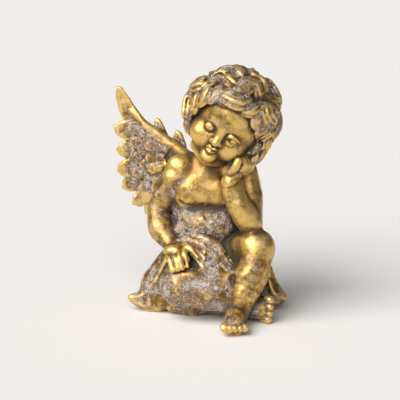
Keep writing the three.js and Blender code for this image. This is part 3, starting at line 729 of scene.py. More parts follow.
@dataclass
class Wing:
    """One wing: flight feathers, three rows of coverts and the bone along its upper edge."""

    root: Point
    span: Point
    side: int
    size: float
    thick: float = 2.5
    vane_melt: float = 0.7
    spike_lift: float = -5
    flight_step: float = 1.6
    covert_step: float = 0.8
    muscles: list[tuple[list[Point], list[float]]] = field(default_factory=lambda: [
        ([(-4, 4), (12, 8), (26, 14)], [14, 9, 4]),
        ([(-4, -8), (10, -14), (22, -18)], [12, 7, 3]),
    ])
    feathers: list[tuple[Point, Point, float, float]] = field(default_factory=lambda: [
        ((14, 14), (71, 81), 9.5, 9.5),
        ((24, 24), (74, 41), 11, -2),
        ((24, 18), (72, 17), 11, -1),
        ((21, 10), (71.5, -5), 10.5, 0),
        ((18, 2), (66.5, -22), 10, 0),
        ((15, -7), (55, -38), 9.5, 1),
        ((12, -16), (43, -48), 9, 1),
    ])
    coverts: list[tuple[float, float, float]] = field(default_factory=lambda: [
        (0.68, 7.5, 3), (0.5, 7, 4.6), (0.36, 6.5, 6)])
    spikes: list[tuple[Point, Point, float]] = field(default_factory=lambda: [
        ((20, 20), (32, 49), 5),
        ((4, 10), (11, 37), 6),
    ])
    bone: list[Point] = field(default_factory=lambda: [(0, 12), (20, 28), (40, 42), (57, 58)])
    bone_radii: list[float] = field(default_factory=lambda: [8, 6, 4.5, 2.5])

    def __post_init__(self) -> None:
        """Works out the wing's own axes."""
        self.out = unit(self.span)
        self.front = np.cross((0, 0, 1), self.out) * self.side

    def place(self, spot: Point, lift: float) -> np.ndarray:
        """A point of the wing's plane, out along the span and up, lifted off its front."""
        flat = self.size * (spot[0] * self.out + spot[1] * np.array((0, 0, 1)))
        return np.asarray(self.root) + flat + lift * self.front

    def lay(self, clay: Clay, quill: Point, tip: Point, width: float, lift: float, bow: float = 0.0) -> None:
        """Lays one feather on.

        Args:
            clay: The block.
            quill: Its quill end in the wing's plane.
            tip: Its free end in the wing's plane.
            width: Half its width, at size 1.
            lift: How far it lies off the wing's plane.
            bow: How far it is bowed, at size 1.
        """
        ends = self.place(quill, lift), self.place(tip, lift)
        half = width * self.size - self.thick
        vane = Feather(*ends, self.front, half, self.thick, bow * self.size * self.side)
        clay.add(vane, self.vane_melt, Wash.WING)

    def build(self, clay: Clay) -> None:
        """Lays the wing on, its spikes first and its smallest coverts last.

        Args:
            clay: The block.
        """
        for line, radii in self.muscles:
            clay.add(Limb([self.place(p, 0) for p in line], radii), 6, Wash.WING)
        for quill, tip, width in self.spikes:
            self.lay(clay, quill, tip, width, self.spike_lift)
        for i, (quill, tip, width, bow) in enumerate(self.feathers):
            self.lay(clay, quill, tip, width, (i % 2) * self.flight_step, bow)
        for row, (share, width, lift) in enumerate(self.coverts):
            for i, (quill, end) in enumerate(self.covert_row(share, row % 2 == 0)):
                for face in (1, -1):
                    self.lay(clay, quill, end, width, face * lift + self.covert_step * (i % 2))
        line = [self.place(p, 1) for p in self.bone]
        clay.add(Limb(line, [r * self.size for r in self.bone_radii]), 3, Wash.SKIN)

    def covert_row(self, share: float, between: bool) -> Iterator[tuple[np.ndarray, np.ndarray]]:
        """Quills and tips of one row of coverts.

        Args:
            share: How far along the flight feathers they reach.
            between: Whether they lie between each two flight feathers, or on them.

        Yields:
            Quill and tip of each, in the wing's plane.
        """
        ends = [(np.asarray(quill, dtype=float), self.part_way(quill, tip, bow, share))
                for quill, tip, _, bow in self.feathers]
        if not between:
            yield from ends
            return
        for (quill, tip), (next_quill, next_tip) in zip(ends, ends[1:]):
            yield (quill + next_quill) / 2, (tip + next_tip) / 2

    @staticmethod
    def part_way(quill: Point, tip: Point, bow: float, share: float) -> np.ndarray:
        """The point part way along a bowed feather: q + s (t - q), moved aside by 4 b s (1 - s).

        Args:
            quill: Its quill end, q.
            tip: Its free end, t.
            bow: How far its middle is bowed, b.
            share: How far along, s.

        Returns:
            The point in the wing's plane.
        """
        start, run = np.asarray(quill, dtype=float), np.subtract(tip, quill)
        aside = np.array((run[1], -run[0])) / np.hypot(*run)
        return start + run * share + aside * (4 * bow * share * (1 - share))


@dataclass
class Head:
    """Skull, face and hair, in a frame of their own: x to the figure's left, y backwards, z to the crown."""

    centre: Point = (31, -2, 201)
    gaze: Point = (-0.25, -0.945, -0.21)
    lean: Point = (0.448, -0.305, 0.84)
    skull: Point = (37, 40, 38)
    cap: tuple[Point, Point] = ((0, 8, 5), (43, 41, 42))
    ear: tuple[Point, Point] = ((36, -8, -14), (8, 15, 19))
    cheeks: list[tuple[Point, Point, float]] = field(default_factory=lambda: [
        ((0, -13, -15), (31, 26, 26), 6),
        ((-15.5, -28.5, -17), (13, 12, 12), 6),
        ((15.5, -28.5, -17), (13, 12, 12), 6),
        ((0, -35, -32), (8, 7, 6.5), 5),
        ((0, -17, 13), (24, 23, 21), 8),
    ])
    nose: list[tuple[Point, Point, float]] = field(default_factory=lambda: [
        ((0, -43, -11.4), (4.3, 4.4, 3.9), 2.2),
        ((-4, -40.4, -12.9), (2.7, 3.1, 2.4), 1.3),
        ((4, -40.4, -12.9), (2.7, 3.1, 2.4), 1.3),
    ])
    socket: tuple[Point, Point] = ((12.6, -44, -2.8), (8.6, 7, 5.6))
    eyeball: tuple[Point, Point] = ((12.4, -34.2, -3.2), (6.3, 5.3, 4.9))
    pupil: tuple[Point, Point] = ((12, -40, -3.2), (1.6, 1.4, 1.7))
    glance: float = -0.8
    upper_lid: list[Point] = field(default_factory=lambda: [
        (5.9, -37.4, -3.8), (9, -39.8, 0.3), (13, -39.9, 1.3), (16.9, -37.6, -0.4), (19.8, -33.8, -4)])
    lower_lid: list[Point] = field(default_factory=lambda: [
        (6.2, -37.3, -4.3), (9.8, -38.9, -7.3), (13.8, -38.5, -7.8), (18.6, -35, -5.4)])
    bridge: list[Point] = field(default_factory=lambda: [(0, -38.5, 2), (0, -40, -5), (0, -42, -11)])
    nostril: tuple[Point, Point] = ((2.2, -42.8, -15), (1.3, 1.5, 1.1))
    upper_lip: list[Point] = field(default_factory=lambda: [
        (-5.8, -37.8, -22), (-2.4, -41, -19.2), (0, -41, -20), (2.4, -41, -19.2), (5.8, -37.8, -22)])
    lower_lip: list[Point] = field(default_factory=lambda: [
        (-4.2, -38.6, -23.4), (0, -41, -24.4), (4.2, -38.6, -23.4)])
    lip_line: list[Point] = field(default_factory=lambda: [
        (-6, -38.6, -22.6), (0, -42.8, -21.7), (6, -38.6, -22.6)])
    lip_groove: list[Point] = field(default_factory=lambda: [(0, -41.6, -15.6), (0, -41.9, -17.8)])
    chin_dent: tuple[Point, Point] = ((0, -41.6, -28.4), (5, 2.4, 2))
    jowl: list[Point] = field(default_factory=lambda: [(-15, -22, -36), (0, -27, -40), (15, -22, -36)])
    crown: Point = (0.42, -0.2, 0.88)
    rings: list[tuple[float, float, int, float]] = field(default_factory=lambda: [
        (3, 48, 6, 7.4), (24, 46, 10, 7.4), (48, 44, 14, 7.2), (74, 40, 15, 7), (100, 36, 12, 6.6)])
    lock_rise: tuple[float, ...] = (2, 7, 10.5, 11.5, 10.5, 8, 4.5)
    lock_girth: tuple[float, ...] = (0.7, 1, 1.05, 1.05, 1, 0.8, 0.5)
    lock_stray: float = 2.4
    strand_melt: float = 1.1
    nape: float = -0.86
    face_axis: Point = (0, -0.96, -0.28)
    face_opening: float = 53
    parting: float = -30
    fringe_bends: list[Point] = field(default_factory=lambda: [
        (79, -5), (71, -7), (63, -4), (57, 3), (58, 11), (64, 16)])
    fringe_rise: tuple[float, ...] = (5, 8.5, 9, 7.5, 5.5, 3)
    fringe_girth: tuple[float, ...] = (0.8, 1, 1, 0.9, 0.7, 0.45)
    fringe_count: int = 15
    fringe_spread: float = 132
    fringe_radius: float = 5.6
    seed: int = 7
    ringlet_drop: list[Point] = field(default_factory=lambda: [(39, 6), (46, -8), (46, -22), (39, -33)])
    ringlet_rows: tuple[float, ...] = (-11, 3, 16)
    ringlet_tuck: float = 9
    cheek_row: float = -20
    cheek_tuck: float = 5
    ringlet_radius: float = 6.4
    ringlet_girth: tuple[float, ...] = (0.8, 1, 1, 0.6)
    ringlet_sway: float = 4

    def __post_init__(self) -> None:
        """Works out the head's axes."""
        back = -unit(self.gaze)
        up = unit(np.asarray(self.lean) - np.dot(self.lean, back) * back)
        self.axes = np.stack([np.cross(back, up), back, up])

    def at(self, spots: Sequence[Point]) -> np.ndarray:
        """Points of the head's frame in the row frame."""
        return np.asarray(spots, dtype=float) @ self.axes + np.asarray(self.centre)

    def egg(self, spot: Point, radii: Point) -> Egg:
        """An egg on the head's axes."""
        return Egg(self.at(spot), radii, self.axes)

    def build(self, clay: Clay) -> None:
        """Lays the skull, the face and then the hair on.

        Args:
            clay: The block.
        """
        clay.add(self.egg((0, 0, 0), self.skull), 4, Wash.FACE)
        for mass in (self.cap, self.ear):
            clay.add(self.egg(*mass), 2, Wash.HAIR)
        for spot, radii, melt in self.cheeks:
            clay.add(self.egg(spot, radii), melt, Wash.FACE)
        self.build_eyes(clay)
        self.build_nose_and_mouth(clay)
        self.build_hair(clay)

    def build_eyes(self, clay: Clay) -> None:
        """Sockets, eyeballs, lids and pupils, alike on both sides.

        Args:
            clay: The block.
        """
        for side in (-1, 1):
            flip = np.array((side, 1, 1))
            clay.carve(self.egg(self.socket[0] * flip, self.socket[1]), 4)
            clay.add(self.egg(self.eyeball[0] * flip, self.eyeball[1]), 0.5, Wash.FACE)
            clay.add(Limb(self.at(self.upper_lid * flip), [0.7, 1.2, 1.2, 1, 0.6]), 0.8, Wash.LID)
            clay.add(Limb(self.at(self.lower_lid * flip), [0.7, 1, 1, 0.6]), 0.8, Wash.LID)
            clay.carve(self.egg(self.pupil[0] * flip + (self.glance, 0, 0), self.pupil[1]), 0.8)

    def build_nose_and_mouth(self, clay: Clay) -> None:
        """Nose, lips and the dents round them.

        Args:
            clay: The block.
        """
        clay.add(Limb(self.at(self.bridge), [2.6, 2.8, 3.4]), 4, Wash.FACE)
        for spot, radii, melt in self.nose:
            clay.add(self.egg(spot, radii), melt, Wash.FACE)
        for side in (-1, 1):
            clay.carve(self.egg(self.nostril[0] * np.array((side, 1, 1)), self.nostril[1]), 0.8)
        clay.add(Limb(self.at(self.upper_lip), [0.9, 2, 1.7, 2, 0.9]), 1.2, Wash.SKIN)
        clay.add(Limb(self.at(self.lower_lip), [1.2, 2.5, 1.2]), 1.2, Wash.SKIN)
        clay.carve(Limb(self.at(self.lip_line), [0.6, 1, 0.6]), 0.9)
        clay.carve(Limb(self.at(self.lip_groove), [0.8, 0.9], steps=2), 1.5)
        clay.carve(self.egg(*self.chin_dent), 3)
        clay.add(Limb(self.at(self.jowl), [6, 7, 6]), 5, Wash.FACE)

    def over(self, directions: np.ndarray, heights: np.ndarray) -> tuple[np.ndarray, np.ndarray]:
        """Points over the skull: each direction's length to the skull, 1 / |d / r|, and a height above it.

        Args:
            directions: (n, 3) directions in the head's frame.
            heights: How far above the skull each point is.

        Returns:
            The points and the outward directions there, in the row frame.
        """
        way = directions / np.linalg.norm(directions, axis=1, keepdims=True)
        radius = 1 / np.linalg.norm(way / np.asarray(self.skull), axis=1)
        return self.at(way * (radius + heights)[:, None]), way @ self.axes

    @staticmethod
    def around(axis: np.ndarray, start: np.ndarray, angles: np.ndarray, turns: np.ndarray) -> np.ndarray:
        """Directions round an axis: cos(a) axis + sin(a) (cos(t) level + sin(t) beside).

        Args:
            axis: The axis.
            start: The direction that turns count from.
            angles: Angles from the axis, a, in degrees.
            turns: Turns about the axis, t, in degrees.

        Returns:
            (n, 3) directions.
        """
        level = unit(start - start.dot(axis) * axis)
        beside = np.cross(axis, level)
        a, t = np.radians(angles)[:, None], np.radians(turns)[:, None]
        return np.cos(a) * axis + np.sin(a) * (np.cos(t) * level + np.sin(t) * beside)

    @staticmethod
    def strands(path: np.ndarray, outward: np.ndarray, width: np.ndarray, count: int = 4) -> Iterator[Limb]:
        """The strands of one lock, side by side along its path.

        Args:
            path: (n, 3) middle line.
            outward: (n, 3) directions away from the skull.
            width: Half width of the lock at each point.
            count: How many strands.

        Yields:
            One limb for each strand.
        """
        heading = np.gradient(path, axis=0)
        aside = np.cross(outward, heading)
        aside /= np.linalg.norm(aside, axis=1, keepdims=True)
        for i, share in enumerate(np.linspace(-1, 1, count)):
            sink = (0.4 * share**2 + 0.1 * (i % 2)) * width
            line = path + aside * (0.74 * share * width)[:, None] - outward * sink[:, None]
            yield Limb(line, list(0.31 * width + 0.3), steps=14)

    def lay_lock(self, clay: Clay, path: np.ndarray, outward: np.ndarray, width: np.ndarray) -> None:
        """Lays the strands of one lock on. See strands."""
        for strand in self.strands(path, outward, width):
            clay.add(strand, self.strand_melt, Wash.HAIR)

    def build_hair(self, clay: Clay) -> None:
        """Rings of swaying locks round the crown, curls framing the face, and ringlets over the ears.

        Args:
            clay: The block.
        """
        chance = np.random.default_rng(self.seed)
        self.build_locks(clay, chance)
        self.build_fringe(clay, chance)
        self.build_ringlets(clay)

    def build_locks(self, clay: Clay, chance: np.random.Generator) -> None:
        """Locks that fall from the crown in an S and curl back at their ends.

        At share s along a lock, it sways by 17 sin(1.5 pi s) + 110 max(s - 0.72, 0) degrees about the crown,
        and falls in proportion to s as far as 0.8, then rises half as fast.

        Args:
            clay: The block.
            chance: What each lock's drift, length, lift, girth and bend are drawn from.
        """
        crown, face = unit(self.crown), unit(self.face_axis)
        shares = np.linspace(0, 1, len(self.lock_rise))
        wave = 17 * np.sin(1.5 * math.pi * shares) + 110 * np.maximum(shares - 0.72, 0)
        drop = np.where(shares < 0.8, shares, 0.8 - 0.5 * (shares - 0.8))
        for ring, (start, length, count, radius) in enumerate(self.rings):
            for i in range(count):
                drift, stretch, lift, girth, bend = chance.uniform(-1, 1, 5)
                swing = (1 if ring % 2 else -1) * (0.9 + 0.5 * bend)
                base = 360 * (i + 0.5 * (ring % 2) + 0.25 * drift) / count
                fall = start + length * (1 + 0.12 * stretch) * drop
                turn = base + swing * wave / np.maximum(np.sin(np.radians(fall)), 0.4)
                way = self.around(crown, face, fall, turn)
                off = np.degrees(np.arccos(np.clip(way @ face, -1, 1)))
                in_face = off[4] < self.face_opening + 4 or off[-1] < self.face_opening - 4
                if in_face or way[4][2] < self.nape:
                    continue
                path, outward = self.over(way, np.array(self.lock_rise) + self.lock_stray * lift)
                self.lay_lock(clay, path, outward, radius * (1 + 0.14 * girth) * np.array(self.lock_girth))

    def build_fringe(self, clay: Clay, chance: np.random.Generator) -> None:
        """Curls round the face, swept to both sides of a parting.

        Args:
            clay: The block.
            chance: What each curl's drift and length are drawn from.
        """
        face = unit(self.face_axis)
        bends = np.array(self.fringe_bends, dtype=float)
        for turn in np.linspace(-self.fringe_spread, self.fringe_spread, self.fringe_count):
            swing = 1 if turn > self.parting else -1
            drift, stretch = chance.uniform(-1, 1, 2)
            angles = bends[:, 0] + 2.5 * stretch
            turns = turn + 2 * drift + swing * bends[:, 1]
            way = self.around(face, np.array((0.0, 0, 1)), angles, turns)
            path, outward = self.over(way, np.array(self.fringe_rise))
            self.lay_lock(clay, path, outward, self.fringe_radius * np.array(self.fringe_girth))

    def build_ringlets(self, clay: Clay) -> None:
        """Ringlets that hang over both ears, and one beside the cheek on the fist.

        Args:
            clay: The block.
        """
        ringlets = [(-1, row, self.ringlet_tuck) for row in self.ringlet_rows]
        ringlets += [(1, row, 0) for row in self.ringlet_rows]
        ringlets.append((1, self.cheek_row, self.cheek_tuck))
        for i, (side, row, tuck) in enumerate(ringlets):
            sway = self.ringlet_sway if i % 2 else -self.ringlet_sway
            spots = [(side * (out - tuck), row + (n % 2) * sway, height)
                     for n, (out, height) in enumerate(self.ringlet_drop)]
            path = self.at(spots)
            outward = np.tile(side * self.axes[0], (len(path), 1))
            self.lay_lock(clay, path, outward, self.ringlet_radius * np.array(self.ringlet_girth))


class Mask(str, Enum):
    """Values stored on the casting's vertices for its finish."""

    WASH = "wash"
    RELIEF = "relief"
    DISH = "dish"
    # How far other clay closes round a place, just off its surface: the finish paints shade by it.
    HOLLOW = "hollow"


@dataclass
class Casting:
    """The whole figure as one closed piece."""

    cell: float = 0.85
    low: Point = (-96, -98, 0)
    high: Point = (98, 100, 262)
    triangles: int = 190000
    relief_radius: float = 1.9
    dish_radius: float = 4.3
    hollow_radius: float = 8.0
    hollow_reach: float = 7.0
    hewing: list[Hewing] = field(default_factory=lambda: [
        Hewing(22, 1.5, 0.06, 0.16, ridged=True),
        Hewing(7, 0.24, 0.1, 0.25),
        Hewing(2.6, 0.32, 0.4, 0.62),
    ])
    seed: int = 11
    feet: list[Foot] = field(default_factory=lambda: [
        Foot(5, (24, -80, 9), (43, -78, 8), (0, -1, 0), 4.5, (4.8, 3.7),
             ([(38, -43, 9), (35, -60, 12), (35.5, -76, 8)], [9, 10.5, 8], 3)),
        Foot(4, (68, -41, 24), (66, -42, 4.5), (0.8, -0.6, 0), 2.5, (4.2, 4),
             ([(50, -34, 14), (58, -35, 14), (62, -36, 14)], [9, 11, 11], 4)),
    ])
    wings: list[Wing] = field(default_factory=lambda: [
        Wing((-14, 30, 140), (-0.97, 0.243, 0), 1, 1.0),
        Wing((26, 32, 140), (0.5, 0.866, 0), -1, 0.85),
    ])

    def build(self) -> bpy.types.Object:
        """Models the clay and takes its skin off.

        Returns:
            The piece, in the row frame.
        """
        clay = Clay(self.low, self.high, self.cell)
        for part in (Body(), Cloth(), *self.feet, *self.wings, Head(), Hands()):
            part.build(clay)
            log.info("laid on: %s", type(part).__name__.lower())
        for hewing in self.hewing:
            clay.roughen(hewing, self.seed)
        clay.cut_below(0)
        skin = clay.skin()
        log.info("skin: %d points, %d faces", len(skin.points), len(skin.faces))
        piece = self.thin(self.mesh_object("cherub_casting", skin))
        self.store_masks(piece.data, clay)
        return piece

    @staticmethod
    def mesh_object(name: str, skin: Skin) -> bpy.types.Object:
        """A linked object with the skin as its mesh.

        Args:
            name: The object's name.
            skin: The skin in millimetres.

        Returns:
            The object, in metres.
        """
        mesh = bpy.data.meshes.new(name)
        mesh.vertices.add(len(skin.points))
        mesh.vertices.foreach_set("co", (skin.points * MM).astype(np.float32).ravel())
        mesh.loops.add(skin.faces.size)
        mesh.loops.foreach_set("vertex_index", skin.faces.astype(np.int32).ravel())
        mesh.polygons.add(len(skin.faces))
        starts = np.arange(0, skin.faces.size, skin.faces.shape[1], dtype=np.int32)
        mesh.polygons.foreach_set("loop_start", starts)
        mesh.update(calc_edges=True)
        mesh.validate()
        piece = bpy.data.objects.new(name, mesh)
        bpy.context.scene.collection.objects.link(piece)
        return piece

    def thin(self, piece: bpy.types.Object) -> bpy.types.Object:
        """Merges edges where the skin is plainest, down to the triangle count.

        Args:
            piece: The object to thin.

        Returns:
            The same object with its thinned mesh.
        """
        spare = piece.modifiers.new("thin", "DECIMATE")
        spare.ratio = min(self.triangles / (2 * len(piece.data.polygons)), 1.0)
        spare.use_collapse_triangulate = True
        graph = bpy.context.evaluated_depsgraph_get()
        mesh = bpy.data.meshes.new_from_object(piece.evaluated_get(graph))
        piece.modifiers.clear()
        old, piece.data = piece.data, mesh
        bpy.data.meshes.remove(old)
        mesh.name = piece.name
        mesh.polygons.foreach_set("use_smooth", np.ones(len(mesh.polygons), bool))
        log.info("thinned to %d triangles", len(mesh.polygons))
        return piece

    def store_masks(self, mesh: bpy.types.Mesh, clay: Clay) -> None:
        """Stores on each vertex how washed, raised and sunk its place is.

        Args:
            mesh: The casting's mesh, in metres.
            clay: The block it was taken off.
        """
        points = np.empty(3 * len(mesh.vertices), np.float32)
        normals = np.empty(3 * len(mesh.vertices), np.float32)
        mesh.vertices.foreach_get("co", points)
        mesh.vertex_normals.foreach_get("vector", normals)
        points = points.reshape(-1, 3).astype(float) / MM
        normals = normals.reshape(-1, 3).astype(float)
        masks = {
            Mask.WASH: clay.sample(clay.wash, points),
            Mask.RELIEF: 1 - clay.sample(clay.fullness(self.relief_radius), points),
            Mask.DISH: clay.sample(clay.fullness(self.dish_radius), points),
            # Clay round each place a little off the surface, like occlusion: the finish darkens by it as
            # painted shade.
            Mask.HOLLOW: clay.sample(clay.fullness(self.hollow_radius), points + normals * self.hollow_reach),
        }
        for mask, values in masks.items():
            layer = mesh.attributes.new(mask.value, "FLOAT", "POINT")
            layer.data.foreach_set("value", values.astype(np.float32))
            log.info("%s: %s", mask.value, np.round(np.percentile(values, (2, 25, 50, 75, 98)), 3))


class Shader:
    """Adds and joins nodes in one node tree."""

    def __init__(self, tree: bpy.types.NodeTree) -> None:
        """Takes the tree to build in."""
        self.tree = tree

    def node(self, kind: str, **values: object) -> bpy.types.Node:
        """Adds a node and sets its properties.

        Args:
            kind: The node's type name.
            **values: Properties of the node.

        Returns:
            The node.
        """
        node = self.tree.nodes.new(kind)
        for name, value in values.items():
            setattr(node, name, value)
        return node

    def feed(self, socket: bpy.types.NodeSocket, value: object) -> None:
        """Joins another socket to a socket, or sets its constant.

        Args:
            socket: The socket that is fed.
            value: A socket or a constant.
        """
        if isinstance(value, bpy.types.NodeSocket):
            self.tree.links.new(value, socket)
        else:
            socket.default_value = value

    def math(self, operation: str, *values: object) -> bpy.types.NodeSocket:
        """A sum, product or the like.

        Args:
            operation: The Math node's operation.
            *values: Its inputs, sockets or constants.

        Returns:
            The result.
        """
        node = self.node("ShaderNodeMath", operation=operation)
        for socket, value in zip(node.inputs, values):
            self.feed(socket, value)
        return node.outputs[0]

    def weigh(self, *terms: tuple[object, float]) -> bpy.types.NodeSocket:
        """A weighted sum.

        Args:
            *terms: Each socket with its weight.

        Returns:
            The sum.
        """
        total: object = 0.0
        for value, weight in terms:
            total = self.math("MULTIPLY_ADD", value, weight, total)
        return total

    def step(self, value: bpy.types.NodeSocket, low: float, high: float) -> bpy.types.NodeSocket:
        """A smooth step.

        Args:
            value: What is looked at.
            low: Where the step is still 0.
            high: Where it has come to 1.

        Returns:
            The step.
        """
        node = self.node("ShaderNodeMapRange", interpolation_type="SMOOTHSTEP")
        for name, setting in (("Value", value), ("From Min", low), ("From Max", high)):
            self.feed(node.inputs[name], setting)
        return node.outputs["Result"]

    def mix(self, share: object, first: object, second: object) -> bpy.types.NodeSocket:
        """One colour turning into another.

        Args:
            share: How much of the second.
            first: First colour.
            second: Second colour.

        Returns:
            The mixed colour.
        """
        node = self.node("ShaderNodeMix", data_type="RGBA")
        for index, value in ((0, share), (6, first), (7, second)):
            self.feed(node.inputs[index], value)
        return node.outputs[2]

    def blend(self, share: object, first: object, second: object) -> bpy.types.NodeSocket:
        """One value turning into another.

        Args:
            share: How much of the second.
            first: First value.
            second: Second value.

        Returns:
            The mixed value.
        """
        node = self.node("ShaderNodeMix", data_type="FLOAT")
        for index, value in ((0, share), (2, first), (3, second)):
            self.feed(node.inputs[index], value)
        return node.outputs[0]


def new_group(
    name: str, inputs: Sequence[str], outputs: Sequence[str],
) -> tuple[Shader, bpy.types.Node, bpy.types.Node]:
    """An empty node group of float sockets.

    Args:
        name: The group's name.
        inputs: Names of its inputs.
        outputs: Names of its outputs.

    Returns:
        A shader to build it with, its input node and its output node.
    """
    tree = bpy.data.node_groups.new(name, "ShaderNodeTree")
    for socket in inputs:
        tree.interface.new_socket(socket, in_out="INPUT", socket_type="NodeSocketFloat")
    for socket in outputs:
        tree.interface.new_socket(socket, in_out="OUTPUT", socket_type="NodeSocketFloat")
    shader = Shader(tree)
    return shader, shader.node("NodeGroupInput"), shader.node("NodeGroupOutput")


class Grain(Enum):
    """The noises of the finish: features per metre, detail, roughness and how far they are stirred."""

    BROAD = (34.0, 2.0, 0.5, 0.4)
    PATCH = (85.0, 2.0, 0.45, 0.5)
    STREAK = (240.0, 4.0, 0.65, 0.8)
    FINE = (760.0, 2.0, 0.6, 0.0)


def mottle_group() -> bpy.types.NodeTree:
    """The noises of the finish, on object coordinates, each from about -0.5 to 0.5.

    Returns:
        A group with one value for each grain.
    """
    shader, _, out = new_group("mottle", (), [grain.name for grain in Grain])
    place = shader.node("ShaderNodeTexCoord").outputs["Object"]
    for grain in Grain:
        noise = shader.node("ShaderNodeTexNoise", noise_dimensions="3D")
        shader.feed(noise.inputs["Vector"], place)
        for name, value in zip(("Scale", "Detail", "Roughness", "Distortion"), grain.value):
            shader.feed(noise.inputs[name], value)
        shader.feed(out.inputs[grain.name], shader.math("SUBTRACT", noise.outputs["Fac"], 0.5))
    return shader.tree


class Share(Enum):
    """What the finish gives out, painted shade included."""

    PALE = "Pale"
    STAIN = "Stain"
    GLAZE = "Glaze"
    BRIGHT = "Bright"
    HEIGHT = "Height"


def patina_and_shade_group() -> bpy.types.NodeTree:
    """Where the pale wash, brown glazing, dark staining and painted shade lie, and how bright the gold is.

    Wash settles in dips, thickest where the caster left most of it, and rims the patches of gold that were
    rubbed bare. Dark staining lies in the hollows and brown glazing on the way down to them; both also darken
    where other clay closes round a place, which is painted shade. Each layer is a smooth step of a weighted
    sum of masks and grains, with the weights given.

    Returns:
        A group from the vertex masks and grains to the shares of each layer, and a height.
    """
    inputs = [mask.name for mask in Mask] + [grain.name for grain in Grain]
    shader, given, out = new_group("patina_and_shade", inputs, [share.value for share in Share])
    get = given.outputs
    wash, hollow = get[Mask.WASH.name], get[Mask.HOLLOW.name]
    broad, patch, streak, fine = (get[grain.name] for grain in Grain)
    dip = shader.math("SUBTRACT", 0.5, get[Mask.RELIEF.name])
    dish = shader.math("SUBTRACT", get[Mask.DISH.name], 0.5)
    zone = shader.weigh((wash, 1.0), (broad, 1.5), (patch, 1.4))
    score = shader.weigh((zone, 1.0), (dip, 2.2), (dish, 0.8), (streak, 1.1), (fine, 0.8))
    border = shader.math("ABSOLUTE", shader.math("SUBTRACT", zone, 0.42))
    rim = shader.math("SUBTRACT", 1.0, shader.step(border, 0.01, 0.06))
    broken = shader.step(shader.weigh((wash, 0.6), (streak, 1.6), (fine, 0.6)), 0.05, 0.4)
    rim = shader.math("MULTIPLY", shader.math("MULTIPLY", rim, broken), 0.6)
    cover = shader.step(score, 0.38, 0.85)
    smudge = shader.step(shader.weigh((zone, 0.8), (dish, 0.8), (streak, 0.9)), 0.1, 0.8)
    chalk = shader.step(shader.weigh((streak, 1.2), (fine, 1.5), (dip, 1.0), (zone, 0.3)), 0.02, 0.42)
    # How sunk and enclosed a place is: fine dips hold real staining and glazing, and the hollow term adds
    # painted shade.
    depth = shader.weigh((hollow, 0.85), (dip, 2.2), (dish, 1.5), (patch, 0.3), (streak, 0.4))
    # Gold rubbed bright on raised places, dimmed a little by the hollow term as painted shade.
    rub_and_shade = shader.weigh((dip, -2.2), (dish, -1.0), (zone, -0.5), (patch, 1.2), (streak, 0.9), (hollow, -0.2))
    # Brown glazing down towards the crevices and under the wash, with painted shade through the depth term.
    shade = shader.weigh((depth, 0.9), (zone, 0.7), (streak, 0.5))
    # Near black: real staining in the fine crevices, and painted shade where other clay closes round a place.
    stain = shader.step(depth, 0.3, 0.6)
    pale = shader.math("MULTIPLY", cover, shader.blend(chalk, shader.blend(stain, 0.16, 0.0), 0.92))
    haze = shader.math("MULTIPLY", smudge, 0.25)
    results = {
        Share.PALE: shader.math("MAXIMUM", shader.math("MAXIMUM", pale, haze), rim),
        Share.STAIN: stain,
        Share.GLAZE: shader.step(shade, 0.14, 0.68),
        Share.BRIGHT: shader.step(rub_and_shade, -0.28, 0.2),
        Share.HEIGHT: shader.math("MULTIPLY", shader.weigh((fine, 0.7), (streak, 0.6), (pale, 0.5)), cover),
    }
    for share, value in results.items():
        shader.feed(out.inputs[share.value], value)
    return shader.tree


Colour = tuple[float, float, float, float]


